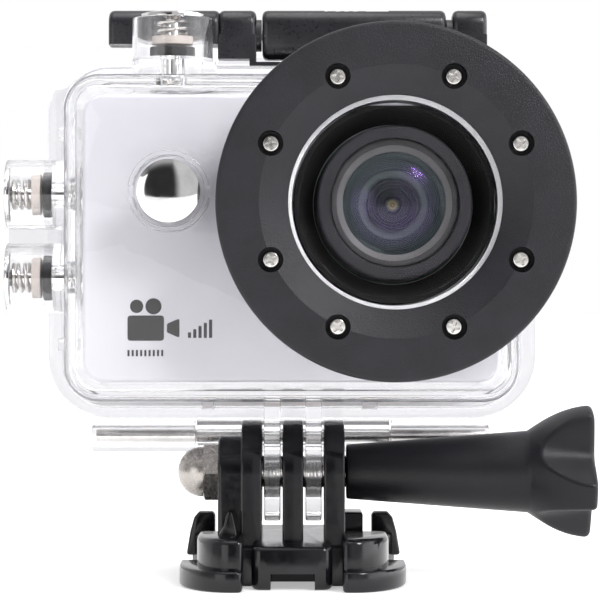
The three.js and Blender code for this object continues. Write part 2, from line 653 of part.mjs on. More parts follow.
// The head is a bell with a scoop between each two lobes, the first lobe "firstLobe" degrees from the back.
function knobHead() {
  const { neck, right, largeR, headR, lobes, firstLobe, tipWidth, scoopR, scoopFall } = KNOB;
  const length = right - neck;
  const rounding = 0.9;
  const halfPitch = 180 / lobes;
  const stations = [0, 0.12, 0.25, 0.4, 0.6, 0.8, 1].map((share) => share * (length - rounding));
  const profile = [[0, 0], ...stations.map((along) => [1, along]), [0.93, length], [0, length]];
  const head = new THREE.LatheGeometry(profile.map(([r, t]) => new THREE.Vector2(r, t)), 48);
  const places = head.getAttribute("position");
  for (let i = 0; i < places.count; i += 1) {
    const [y, along, z] = [places.getX(i), places.getY(i), places.getZ(i)];
    const share = along / length;
    const bell = largeR + (headR - largeR) * Math.sin((Math.PI / 2) * share);
    const fromFirst = THREE.MathUtils.radToDeg(Math.atan2(z, y)) - firstLobe + 720;
    const fromScoop = Math.abs((fromFirst % (2 * halfPitch)) - halfPitch);
    const scoopFloor = scoopR - scoopFall * share;
    const scoop = scoopFloor + (headR - scoopFloor) * (fromScoop / (halfPitch - tipWidth)) ** 2;
    const r = Math.min(bell, scoop);
    places.setXYZ(i, y * r, z * r, along);
  }
  return solidFrom(head.applyMatrix4(TO_X).translate(neck, 0, BOLT.z));
}

function thumbScrewKnob() {
  const handle = turned(
    [[0, KNOB.left], [KNOB.smallR - 0.2, KNOB.left], [KNOB.smallR, KNOB.left + 0.3],
      [KNOB.largeR, KNOB.neck + 0.5], [0, KNOB.neck + 0.5]],
    RIGHTWARDS, BOLT_AT, 28,
  );
  return cut(
    join(handle, knobHead()),
    rod(BOLT.r + GAP, KNOB.left - 1, KNOB.socketEnd, RIGHTWARDS, BOLT_AT, 16),
  );
}

// ---------------------------------------------------------------- assembly

place("front_case", frontCase(), "clear");
place("lens_window", rod(WINDOW.r, WINDOW.front, WINDOW.back, BACKWARDS, LENS_AT, 40), "clear");
place("lens_ring", lensRing(), "blackSatin");
screwPlaces.forEach((at, i) => place(`lens_ring_screw_${i + 1}`, ringScrew(at), "steel"));
place("lens_shroud", lensShroud(), "blackSatin");
place("hinge_pin",
  rod(HINGE.pin, HINGE.left + 0.6, HINGE.right - 0.6, RIGHTWARDS, [0, HINGE.y, HINGE.z], 16), "steel");
place("rear_door", rearDoor(), "clear");
place("door_gasket", gasketSpace(0), "gasket");
place("latch_base", latchBase(), "blackSatin");
place("latch_pin",
  rod(LATCH.pin, LATCH_BLOCKS.left[1] - 4, LATCH_BLOCKS.right[0] + 3.5, RIGHTWARDS, LATCH_AT, 14), "steel");
place("latch_lever", latchLever(), "blackSatin");
place("latch_hook", latchHook(), "blackSatin");
place("latch_lock", latchLock(), "blackSatin");

for (const [side, button] of Object.entries(CASE_BUTTONS)) {
  placeButton(side, button);
  place(`camera_${side}_key`, cameraKey(button), side === "front" ? "chrome" : "silver");
}

place("camera_front_cover", cameraFrontCover(), "silver");
place("camera_mid_frame", cameraMidFrame(), "silver");
place("camera_back_cover", cameraBackCover(), "blackSatin");
place("camera_screen", prismY(roundRect(SCREEN.w, SCREEN.h, SCREEN.r, BODY.x, BODY.z), 9.2, 9.9), "glass");
place("lens_bezel", lensBezel(), "blackSatin");
place("lens_barrel", lensBarrel(), "blackSatin");
place("front_lens", frontLens(), "glass");
place("sensor_board", prismY(roundRect(19, 19, 1, LENS.x, LENS.z), -1.6, -0.5), "board");
place("main_board", prismY(roundRect(54, 35, 1.5, BODY.x, BODY.z), 4.2, 5.4), "board");
place("battery", prismY(roundRect(26, 32, 1.5, -13.4, 47.2), -6.6, 3.6), "battery");

place("buckle", buckle(), "blackGloss");
place("buckle_arm_left", buckleArm(-1), "blackGloss");
place("buckle_arm_right", buckleArm(1), "blackGloss");
place("acorn_nut", acornNut(), "steel");
place("thumb_screw_knob", thumbScrewKnob(), "blackSatin");
place("thumb_screw_bolt", rod(BOLT.r, BOLT.left, BOLT.right, RIGHTWARDS, BOLT_AT, 16), "steel");

export default camera;
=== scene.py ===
"""The looks of an action camera in its clear waterproof case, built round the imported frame.

Shapes are worked out in millimetres in the frame's own axes (X right, Y back, Z up) and stored in metres.
"""

import json
import math

import bmesh
import bpy
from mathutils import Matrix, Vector


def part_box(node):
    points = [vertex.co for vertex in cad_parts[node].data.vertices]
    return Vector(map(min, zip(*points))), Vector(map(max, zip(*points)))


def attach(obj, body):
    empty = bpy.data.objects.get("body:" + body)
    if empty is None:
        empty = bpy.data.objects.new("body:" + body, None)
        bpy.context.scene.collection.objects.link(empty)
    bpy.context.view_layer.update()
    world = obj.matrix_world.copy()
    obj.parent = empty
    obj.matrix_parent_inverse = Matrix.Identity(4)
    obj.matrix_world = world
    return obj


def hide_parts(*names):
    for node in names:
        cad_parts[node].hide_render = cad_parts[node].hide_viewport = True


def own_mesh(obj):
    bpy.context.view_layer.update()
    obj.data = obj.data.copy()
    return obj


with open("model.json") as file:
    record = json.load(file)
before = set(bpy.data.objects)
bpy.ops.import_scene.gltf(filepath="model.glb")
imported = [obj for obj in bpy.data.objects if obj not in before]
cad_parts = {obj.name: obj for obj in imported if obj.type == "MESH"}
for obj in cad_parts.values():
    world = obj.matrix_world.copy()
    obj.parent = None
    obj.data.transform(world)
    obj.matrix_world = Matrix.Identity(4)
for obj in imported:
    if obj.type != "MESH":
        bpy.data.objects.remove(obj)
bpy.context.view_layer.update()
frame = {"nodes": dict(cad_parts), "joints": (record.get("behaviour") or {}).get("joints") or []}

MM = 0.001
SIDES = 96


# ---------------------------------------------------------------- places from the frame

def corners(node):
    """A CAD node's lowest and highest corners, in millimetres."""
    low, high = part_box(node)
    return low / MM, high / MM


def middle(node):
    low, high = corners(node)
    return (low + high) / 2


def front_and_back(node):
    low, high = corners(node)
    return low.y, high.y


def joint(name):
    return next(j for j in frame["joints"] if j["name"] == name)


def joint_point(name):
    return Vector(joint(name)["pos_m"]) / MM


BOLT = joint_point("housing_tilt")
HINGE = joint_point("door_swing")
LATCH = joint_point("latch_lift")
HOOK = joint_point("hook_swing")
RING = corners("lens_ring")
LENS = middle("lens_ring")
BODY = corners("camera_mid_frame")
PLATE = corners("camera_front_cover")
DOOR = corners("rear_door")
LENS_AT = (LENS.x, 0, LENS.z)
HINGE_AT = (0, HINGE.y, HINGE.z)
LATCH_AT = (0, LATCH.y, LATCH.z)
HOOK_AT = (0, HOOK.y, HOOK.z)
BACK = (0, 1, 0)
RIGHT = (1, 0, 0)

GAP = 0.3  # between pieces that touch
BOLT_HOLE = 2.7
PIN_HOLE = 1.2
LATCH_HOLE = 1.1
SCREW_HOLE = 1.15
STEM_HOLE = 1.3
KEY_HOLE = 2.7
SKIN = 1.3  # the camera body's wall


# ---------------------------------------------------------------- shapes

def finish_mesh(obj):
    """Faces point out, and all but the sharp edges look smooth."""
    work = bmesh.new()
    work.from_mesh(obj.data)
    bmesh.ops.remove_doubles(work, verts=work.verts, dist=1e-7)
    bmesh.ops.recalc_face_normals(work, faces=work.faces)
    work.to_mesh(obj.data)
    work.free()
    for face in obj.data.polygons:
        face.use_smooth = True
    obj.data.set_sharp_from_angle(angle=math.radians(32))
    return obj


def mesh_object(name, points, faces):
    mesh = bpy.data.meshes.new(name)
    mesh.from_pydata([Vector(p) * MM for p in points], [], faces)
    obj = bpy.data.objects.new(name, mesh)
    bpy.context.scene.collection.objects.link(obj)
    return finish_mesh(obj)


def filleted(points, radius, steps=4):
    """A closed outline with its corners rounded. A third number on a point is that corner's own radius."""
    outline = []
    count = len(points)
    for i, point in enumerate(points):
        here = Vector(point[:2])
        own = point[2] if len(point) > 2 else radius
        before = Vector(points[i - 1][:2]) - here
        after = Vector(points[(i + 1) % count][:2]) - here
        half = before.angle(after) / 2
        if own <= 0 or half > math.radians(86):
            outline.append(here)
            continue
        reach = min(own / math.tan(half), 0.48 * before.length, 0.48 * after.length)
        start = here + before.normalized() * reach
        end = here + after.normalized() * reach
        for k in range(steps + 1):
            t = k / steps
            outline.append(start * (1 - t) ** 2 + here * 2 * t * (1 - t) + end * t * t)
    return outline


def arc(r, start, end, steps, u=0.0, v=0.0):
    """Points on a circle, from one angle to another in degrees, both ends included."""
    turns = [math.radians(start + (end - start) * i / steps) for i in range(steps + 1)]
    return [(u + r * math.cos(a), v + r * math.sin(a)) for a in turns]


def round_turn(sides):
    """The angles of points spread evenly round a circle."""
    return [2 * math.pi * k / sides for k in range(sides)]


def round_rect(w, h, r, u=0.0, v=0.0, steps=12):
    points = []
    for corner, (su, sv) in enumerate([(1, 1), (-1, 1), (-1, -1), (1, -1)]):
        points += arc(r, 90 * corner, 90 * corner + 90, steps, u + su * (w / 2 - r), v + sv * (h / 2 - r))
    return points


def rect(u0, u1, v0, v1):
    return [(u0, v0), (u1, v0), (u1, v1), (u0, v1)]


def turned(name, profile, axis, at, sides=SIDES):
    """A profile of (radius, height) points turned round an axis. It ends on the axis, or closes on itself."""
    turn = Vector((0, 0, 1)).rotation_difference(Vector(axis)).to_matrix()
    closed = profile[0][0] > 0
    points, rings = [], []
    for r, t in profile:
        count = sides if r > 1e-6 else 1
        rings.append(range(len(points), len(points) + count))
        for a in round_turn(sides)[:count]:
            points.append(turn @ Vector((r * math.cos(a), r * math.sin(a), t)) + Vector(at))
    faces = []
    pairs = list(zip(rings, rings[1:])) + ([(rings[-1], rings[0])] if closed else [])
    for one, two in pairs:
        for i in range(sides):
            j = (i + 1) % sides
            quad = [one[i % len(one)], one[j % len(one)], two[j % len(two)], two[i % len(two)]]
            face = list(dict.fromkeys(quad))
            if len(face) > 2:
                faces.append(face)
    return mesh_object(name, points, faces)


def ring(name, inner, outer, low, high, axis, at, edge=0.15, sides=SIDES):
    profile = filleted([(inner, low), (outer, low), (outer, high), (inner, high)], edge, 3)
    return turned(name, profile, axis, at, sides)


def rod(name, r, low, high, axis, at, edge=0.0, sides=SIDES):
    rounded = filleted([(0, low, 0), (r, low), (r, high), (0, high, 0)], edge, 3)
    return turned(name, [(0, low)] + rounded[1:-1] + [(0, high)], axis, at, sides)


def lofted(name, rows):
    """A closed skin over rings of points that follow each other."""
    sides = len(rows[0])
    last = (len(rows) - 1) * sides
    faces = []
    for base in range(0, last, sides):
        for k in range(sides):
            j = (k + 1) % sides
            faces.append([base + k, base + j, base + sides + j, base + sides + k])
    faces += [list(range(sides)), list(range(last, last + sides))]
    return mesh_object(name, [point for row in rows for point in row], faces)


def inset(outline, by):
    """The outline moved inwards by a distance. The outline runs anticlockwise."""
    moved = []
    for i, here in enumerate(outline):
        into = (here - outline[i - 1]).normalized()
        out = (outline[(i + 1) % len(outline)] - here).normalized()
        n1, n2 = Vector((-into.y, into.x)), Vector((-out.y, out.x))
        mean = (n1 + n2).normalized()
        moved.append(here + mean * by / max(0.35, mean.dot(n1)))
    return moved


def prism(name, outline, axis, low, high, edge=0.3, far_edge=None, steps=3):
    """An outline drawn out along an axis. Its low rim is rounded by "edge", its high rim by "far_edge"."""
    flat = [Vector(p[:2]) for p in outline]
    flat = [p for i, p in enumerate(flat) if (p - flat[i - 1]).length > 1e-5]
    area = sum(flat[i - 1].cross(p) for i, p in enumerate(flat))
    if area < 0:
        flat.reverse()
    far_edge = edge if far_edge is None else far_edge
    levels = []
    for k in range(steps + 1):
        a = math.pi / 2 * k / steps
        levels.append((edge * (1 - math.sin(a)), low + edge * (1 - math.cos(a))))
    for k in range(steps + 1):
        a = math.pi / 2 * (1 - k / steps)
        levels.append((far_edge * (1 - math.sin(a)), high - far_edge * (1 - math.cos(a))))
    levels = list(dict.fromkeys(levels))
    points, count = [], len(flat)
    for by, t in levels:
        for p in inset(flat, by):
            points.append({"x": (t, p.x, p.y), "y": (p.x, t, p.y), "z": (p.x, p.y, t)}[axis])
    faces = [list(range(count)), list(range(len(points) - count, len(points)))]
    for level in range(len(levels) - 1):
        base = level * count
        for i in range(count):
            j = (i + 1) % count
            faces.append([base + i, base + j, base + count + j, base + count + i])
    return mesh_object(name, points, faces)


def combined(operation, target, tools):
    """The target joined with, cut by or kept inside the tools, which are used up."""
    for tool in tools:
        modifier = target.modifiers.new("join", "BOOLEAN")
        modifier.operation = operation
        modifier.solver = "MANIFOLD"
        modifier.object = tool
    scene_graph = bpy.context.evaluated_depsgraph_get()
    mesh = bpy.data.meshes.new_from_object(target.evaluated_get(scene_graph))
    target.modifiers.clear()
    target.data = mesh
    for tool in tools:
        bpy.data.objects.remove(tool)
    return finish_mesh(target)


def join(target, *tools):
    return combined("UNION", target, tools)


def cut(target, *tools):
    return combined("DIFFERENCE", target, tools)


def soften(obj, width):
    """Rounds the sharp edges that joining and cutting leave."""
    bevel = obj.modifiers.new("edges", "BEVEL")
    bevel.width = width * MM
    bevel.segments = 2
    bevel.limit_method = "ANGLE"
    bevel.angle_limit = math.radians(40)
    bevel.harden_normals = True
    return obj


# ---------------------------------------------------------------- materials

class Look:
    """A material's node tree, with short ways to add the usual nodes. Its coordinates are the frame's."""

    def __init__(self, name, color, roughness, metallic=0.0, **settings):
        self.material = bpy.data.materials.new(name)
        self.material.use_nodes = True
        self.tree = self.material.node_tree
        self.shader = self.tree.nodes["Principled BSDF"]
        self.shader.inputs["Base Color"].default_value = (*color, 1)
        self.shader.inputs["Roughness"].default_value = roughness
        self.shader.inputs["Metallic"].default_value = metallic
        for socket, value in settings.items():
            self.shader.inputs[socket.replace("_", " ")].default_value = value
        self.place = self.tree.nodes.new("ShaderNodeTexCoord").outputs["Object"]

    def node(self, kind, values=None, **settings):
        """A new node with its settings, and with values on some of its inputs."""
        made = self.tree.nodes.new(kind)
        for key, value in settings.items():
            setattr(made, key, value)
        for socket, value in (values or {}).items():
            made.inputs[socket].default_value = value
        return made

    def link(self, output, socket):
        self.tree.links.new(output, socket)

    def noise(self, size_mm, detail=3.0, roughness=0.55, stretch=(1, 1, 1)):
        """Noise with features of about that size."""
        scaled = self.node("ShaderNodeMapping", {"Scale": stretch})
        self.link(self.place, scaled.inputs["Vector"])
        made = self.node("ShaderNodeTexNoise", {"Scale": 1 / (size_mm * MM), "Detail": detail,
                                                "Roughness": roughness})
        self.link(scaled.outputs["Vector"], made.inputs["Vector"])
        return made.outputs["Fac"]

    def remap(self, value, low, high, start=0.3, end=0.7):
        """Low where the value is at the start or below, and high where it is at the end or above."""
        made = self.node("ShaderNodeMapRange", {"From Min": start, "From Max": end,
                                                "To Min": low, "To Max": high})
        self.link(value, made.inputs["Value"])
        return made.outputs["Result"]

    def tint(self, value, dark, light):
        """The base colour runs from dark to light as the value goes from 0 to 1."""
        made = self.node("ShaderNodeMix", {"A": (*dark, 1), "B": (*light, 1)}, data_type="RGBA")
        self.link(value, made.inputs["Factor"])
        self.link(made.outputs["Result"], self.shader.inputs["Base Color"])

    def rings(self, stops):
        """The base colour changes with the distance from the lens axis: stops are (millimetres, colour)."""
        reach = 10
        flat = self.node("ShaderNodeVectorMath", {1: (1, 0, 1)}, operation="MULTIPLY")
        away = self.node("ShaderNodeVectorMath", {1: (LENS.x * MM, 0, LENS.z * MM)}, operation="DISTANCE")
        share = self.node("ShaderNodeMath", {1: reach * MM}, operation="DIVIDE")
        ramp = self.node("ShaderNodeValToRGB")
        elements = ramp.color_ramp.elements
        while len(elements) < len(stops):
            elements.new(0.5)
        for element, (r, color) in zip(elements, stops):
            element.position = r / reach
            element.color = (*color, 1)
        self.link(self.place, flat.inputs[0])
        self.link(flat.outputs["Vector"], away.inputs[0])
        self.link(away.outputs["Value"], share.inputs[0])
        self.link(share.outputs["Value"], ramp.inputs["Fac"])
        self.link(ramp.outputs["Color"], self.shader.inputs["Base Color"])

    def rough(self, value, low, high):
        self.link(self.remap(value, low, high), self.shader.inputs["Roughness"])

    def bump(self, value, depth_mm, strength=1.0):
        made = self.node("ShaderNodeBump", {"Strength": strength, "Distance": depth_mm * MM})
        self.link(value, made.inputs["Height"])
        self.link(made.outputs["Normal"], self.shader.inputs["Normal"])

    def mix_with(self, other, share):
        """Shows another shader for a share of the light, which is a number or a socket."""
        mix = self.node("ShaderNodeMixShader")
        if isinstance(share, float):
            mix.inputs["Fac"].default_value = share
        else:
            self.link(share, mix.inputs["Fac"])
        self.link(self.shader.outputs["BSDF"], mix.inputs[1])
        self.link(other.outputs["BSDF"], mix.inputs[2])
        self.link(mix.outputs["Shader"], self.tree.nodes["Material Output"].inputs["Surface"])


def around(color, spread):
    """A darker and a lighter colour, either side of this one."""
    return [c * (1 - spread) for c in color], [c * (1 + spread) for c in color]


def moulded_black(name, color, roughness, grain_mm, grain_depth, shade=0.35, gloss=0.5):
    """Black plastic with a moulded grain, and broad patches that are a little darker or lighter."""
    look = Look(name, color, roughness, Specular_IOR_Level=gloss)
    broad = look.noise(6, 2)
    fine = look.noise(grain_mm, 4, 0.6)
    look.tint(look.remap(broad, 0, 1), *around(color, shade))
    look.rough(fine, roughness - 0.06, roughness + 0.08)
    look.bump(fine, grain_depth)
    return look.material


def gloss_black():
    look = Look("gloss_black_plastic", (0.006, 0.0055, 0.007), 0.14, Specular_IOR_Level=0.42)
    waves = look.noise(9, 1)
    scuffs = look.noise(1.6, 5, 0.7, (1, 6, 1))
    look.tint(look.remap(waves, 0, 1), (0.004, 0.0037, 0.005), (0.008, 0.0074, 0.0095))
    look.rough(scuffs, 0.09, 0.24)
    look.bump(waves, 0.05, 0.25)
    return look.material


def silver_paint():
    look = Look("silver_paint", (0.68, 0.672, 0.71), 0.46, 0.3, Specular_IOR_Level=0.4)
    flakes = look.noise(0.09, 2, 0.7)
    clouds = look.noise(14, 2)
    look.tint(look.remap(clouds, 0, 1), (0.655, 0.648, 0.688), (0.705, 0.697, 0.73))
    look.rough(flakes, 0.4, 0.54)
    look.bump(flakes, 0.004, 0.5)
    return look.material


def polished_metal(name, color, roughness, lines_mm, depth):
    """Bright metal with fine marks and faint stains."""
    look = Look(name, color, roughness, 1.0)
    lines = look.noise(lines_mm, 3, 0.6)
    stains = look.noise(2.5, 3)
    look.tint(look.remap(stains, 0, 1), [c * 0.88 for c in color], [min(1, c * 1.06) for c in color])
    look.rough(lines, max(0.02, roughness - 0.05), roughness + 0.08)
    look.bump(lines, depth, 0.6)
    return look.material


def clear_plastic(name, color, roughness, ior, ripple_mm, depth, through=0.0):
    """Clear moulded plastic or glass. Lamp light, and a share of the rest, goes straight through."""
    look = Look(name, color, roughness, IOR=ior, Transmission_Weight=1.0)
    ripple = look.noise(ripple_mm, 2)
    look.bump(ripple, depth, 0.5)
    straight = look.node("ShaderNodeBsdfTransparent", {"Color": (0.95, 0.95, 0.96, 1)})
    path = look.node("ShaderNodeLightPath")
    look.mix_with(straight, look.remap(path.outputs["Is Shadow Ray"], through, 1, 0, 1))
    return look.material


def soft_matte(name, color, roughness, grain_mm, depth, spread=0.12, **settings):
    """A dull surface: rubber, silicone, frosted plastic, wrap or print."""
    look = Look(name, color, roughness, **settings)
    grain = look.noise(grain_mm, 4)
    broad = look.noise(5, 2)
    look.tint(look.remap(broad, 0, 1), *around(color, spread))
    look.rough(grain, roughness - 0.08, min(1, roughness + 0.08))
    look.bump(grain, depth)
    return look.material


def circuit_board():
    """Green solder resist with paler copper tracks under it."""
    look = Look("circuit_board", (0.01, 0.1, 0.05), 0.35)
    tracks = look.node("ShaderNodeTexBrick", {"Scale": 1 / (6 * MM), "Mortar Size": 0.03})
    look.link(look.place, tracks.inputs["Vector"])
    look.tint(tracks.outputs["Fac"], (0.008, 0.09, 0.04), (0.03, 0.22, 0.09))
    look.bump(tracks.outputs["Fac"], 0.03)
    return look.material


def barrel_black():
    """Black anodised rings, with a paler retaining ring outside the glass, and warm rings on the pupil at the
    middle that are a painted gold highlight.
    """
    look = Look("lens_barrel_black", (0.03, 0.03, 0.03), 0.34)
    # painted highlight: the pupil's warm bright centre and ring are a gold reflection painted into its colour
    pupil = [(0, (0.5, 0.32, 0.1)), (0.2, (0.12, 0.05, 0.02)), (0.45, (0.3, 0.24, 0.1))]
    inner_cone = [(0.95, (0.012, 0.014, 0.013)), (3.45, (0.006, 0.007, 0.007))]
    pale_facet = [(3.55, (0.2, 0.215, 0.205)), (4.7, (0.17, 0.18, 0.175))]
    ridges = [(4.9, (0.025, 0.034, 0.038)), (7.1, (0.028, 0.036, 0.042))]
    retaining_ring = [(7.2, (0.13, 0.125, 0.13)), (8, (0.11, 0.105, 0.11))]
    rim = [(8.05, (0.03, 0.028, 0.032))]
    look.rings(pupil + inner_cone + pale_facet + ridges + retaining_ring + rim)
    look.bump(look.noise(0.5, 3), 0.002)
    return look.material


def coated_glass():
    """The front element: a clear glass under a thin coating whose reflection is violet."""
    look = Look("coated_lens_glass", (0.9, 0.97, 0.97), 0.01, IOR=1.12, Transmission_Weight=1.0)
    look.bump(look.noise(12, 1), 0.002, 0.3)
    coating = look.node("ShaderNodeBsdfGlossy", {"Color": (0.5, 0.24, 1, 1), "Roughness": 0.14})
    look.mix_with(coating, 0.015)
    return look.material


def screen_glass():
    look = Look("screen_glass", (0.012, 0.013, 0.015), 0.06, Coat_Weight=0.6)
    smears = look.noise(7, 4, 0.7, (1, 1, 3))
    look.rough(smears, 0.04, 0.16)
    look.tint(smears, (0.01, 0.011, 0.013), (0.016, 0.017, 0.019))
    return look.material


TEXTURED = moulded_black("textured_black_plastic", (0.008, 0.0072, 0.0105), 0.35, 0.26, 0.1, 0.35, 0.38)
GRIP = moulded_black("grip_black_plastic", (0.004, 0.0036, 0.0056), 0.38, 0.25, 0.04, 0.3, 0.34)
SATIN = moulded_black("satin_black_plastic", (0.012, 0.0115, 0.015), 0.3, 0.5, 0.004)
BEZEL_BLACK = moulded_black("bezel_black", (0.012, 0.011, 0.015), 0.6, 0.5, 0.003, 0.1, 0.3)
SHROUD_BLACK = moulded_black("shroud_black", (0.005, 0.0045, 0.005), 0.75, 0.8, 0.002, 0.2, 0.15)
GLOSS = gloss_black()
SILVER = silver_paint()
NUT_STEEL = polished_metal("nut_steel", (0.47, 0.44, 0.41), 0.26, 0.5, 0.003)
STEEL = polished_metal("stainless_steel", (0.74, 0.72, 0.69), 0.2, 0.4, 0.004)
CHROME = polished_metal("chrome_plate", (0.86, 0.85, 0.84), 0.035, 3.0, 0.0)
CLEAR = clear_plastic("clear_polycarbonate", (0.985, 0.985, 0.99), 0.02, 1.47, 9.0, 0.03, 0.1)
WINDOW = clear_plastic("window_glass", (0.99, 0.995, 0.99), 0.0, 1.12, 20.0, 0.0)
FROSTED = soft_matte("frosted_seat", (0.84, 0.835, 0.86), 0.4, 0.6, 0.01, 0.04)
COLLAR = soft_matte("collar_plastic", (0.62, 0.55, 0.5), 0.45, 0.6, 0.01)
RUBBER = soft_matte("black_rubber", (0.014, 0.014, 0.015), 0.7, 0.4, 0.02)
SILICONE = soft_matte("silicone", (0.8, 0.8, 0.83), 0.5, 0.8, 0.01, 0.05, Subsurface_Weight=0.2)
BOARD = circuit_board()
WRAP = soft_matte("battery_wrap", (0.25, 0.26, 0.28), 0.4, 1.0, 0.01)
PRINT = soft_matte("print_black", (0.0015, 0.0015, 0.0018), 0.7, 0.2, 0.002, Specular_IOR_Level=0.05)
BARREL = barrel_black()
COATED = coated_glass()
SCREEN_GLASS = screen_glass()


def paint(obj, material):
    obj.data.materials.clear()
    obj.data.materials.append(material)


def dress(obj, material, body, node=None):
    """Gives a finished piece its material and slot, its body and the CAD node it stands for."""
    paint(obj, material)
    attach(obj, body)
    if node:
        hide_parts(node)


# ---------------------------------------------------------------- case

def case_outline(out_x, out_z, r, lift=0.0, steps=12):
    """The camera body's outline, grown sideways and upwards by those amounts, with corners of radius r."""
    low, high = BODY
    return round_rect(high.x - low.x + 2 * out_x, high.z - low.z + 2 * out_z, r,
                      (low.x + high.x) / 2, (low.z + high.z) / 2 + lift, steps)


FLANGE_BACK = corners("door_gasket")[0].y - 0.15
FLANGE_FRONT = FLANGE_BACK - 2.8
CASE_FRONT = PLATE[0].y - 2.6
CAVITY_FRONT = PLATE[0].y - 0.8
WINDOW_BOX = corners("lens_window")
PORT_FRONT = WINDOW_BOX[1].y + 0.3
MIDDLE_EYE = 14.5
EYE_R = 2.5
BAR_TOP = corners("latch_lever")[0].z - 0.45  # the bar under the lever, and the room cut for it
BLOCK_END = -11.2  # the latch's first block ends here, and stands clear of the flange
FLANGE = case_outline(7, 7.3, 9.5, 1.2)
FLANGE_LOW = min(v for _, v in FLANGE)
FLANGE_TOP = max(v for _, v in FLANGE)
SCREWS = [middle(f"lens_ring_screw_{i}") for i in range(1, 9)]


class Button:
    """A case button: the line it works along, its sizes, and its pieces' places from its guard's floor."""

    def __init__(self, side, guard, pocket, rim, root, floor, cap, turns, wire):
        self.side, self.guard, self.pocket, self.rim = side, guard, pocket, rim
        self.root, self.wall = root, root - floor
        self.cap_radius, self.cap_thickness = cap
        self.turns, self.wire = turns, wire
        self.press = joint(f"{side}_press")
        self.axis = -Vector(self.press["axis"])
        self.at = middle(f"{side}_button_plunger")
        self.at += self.axis * (self.span("seal")[0] - GAP)

    def span(self, piece):
        """Where a piece of this button starts and ends along the button's line."""
        low, high = corners(f"{self.side}_button_{piece}")
        return sorted(((low - self.at).dot(self.axis), (high - self.at).dot(self.axis)))


FRONT_BUTTON = Button("front", 5.76, 5.0, 4.4, -1.6, 1.3, (4.45, 1.0), 1.5, 0.2)
TOP_BUTTON = Button("top", 5.9, 5.2, 5.9, -3.4, 1.4, (4.6, 1.2), 2.25, 0.25)
SIDE_BUTTONS = [Button(side, 5.1, 4.5, 6.9, -2.6, 1.4, (4.0, 1.1), 3, 0.28) for side in ("upper", "lower")]
BUTTONS = [FRONT_BUTTON, TOP_BUTTON, *SIDE_BUTTONS]


def guard(b):
    """The round guard with its boss, the pocket already taken out."""
    outside = [(0, b.root, 0), (b.guard, b.root, 0), (b.guard, b.rim, 0.35), (b.pocket, b.rim, 0.25),
               (b.pocket, 0, 0.5), (0, 0, 0)]
    return turned(f"{b.side}_guard", filleted(outside, 0), b.axis, b.at)


def hinge_eye(name, x0, x1, web_front, web_back):
    eye = rod(name, EYE_R, x0, x1, RIGHT, HINGE_AT, 0.3)
    web = prism("web", rect(web_front, web_back, HINGE.z, FLANGE_LOW + 1.5), "x", x0, x1, 0.15)
    return join(eye, web)


def mount_finger(x):
    """One of the two clear ears that sit between the fork's prongs."""
    r, half, root = 7.2, 1.2, BODY[0].z - 2
    outline = [(-r, root), (-r, BOLT.z)] + arc(r, 180, 360, 40, 0, BOLT.z) + [(r, root)]
    return prism(f"finger_{x:g}", outline, "x", x - half, x + half, 0.25)


def case_ribs():
    """The small ribs in the corner between the case's walls and its flange."""
    above, below_left, below_right = (-13.2, -11.1, 70, 75.2), (-13.2, -11.4, 24.9, 28), (9.9, 12.2, 24.9, 28)
    left_high, left_low = (-34, -32, 64, 65.7), (-34, -32, 33.4, 35.1)
    return [prism("rib", rect(*spot), "y", -6, FLANGE_FRONT + 0.5, 0.3, 0.01)
            for spot in (above, below_left, below_right, left_high, left_low)]


def button_holes(b):
    return [rod("pocket", b.pocket, 0, b.rim + 1, b.axis, b.at),
            rod("bore", STEM_HOLE, b.wall - 1, 1, b.axis, b.at, sides=48),
            rod("recess", 2.4, b.wall - 1, b.wall + 1.7, b.axis, b.at, sides=48)]


def guard_notches(b):
    """The two notches in the rim of the front button's guard."""
    z, rim = b.at.z, b.at.y - b.rim
    return [prism("notch", rect(x - 0.6, x + 0.6, z - 0.8, z + 0.8), "y", rim - 1, rim + 1.2, 0.1)
            for x in [b.at.x + side * (b.guard - 0.4) for side in (-1, 1)]]


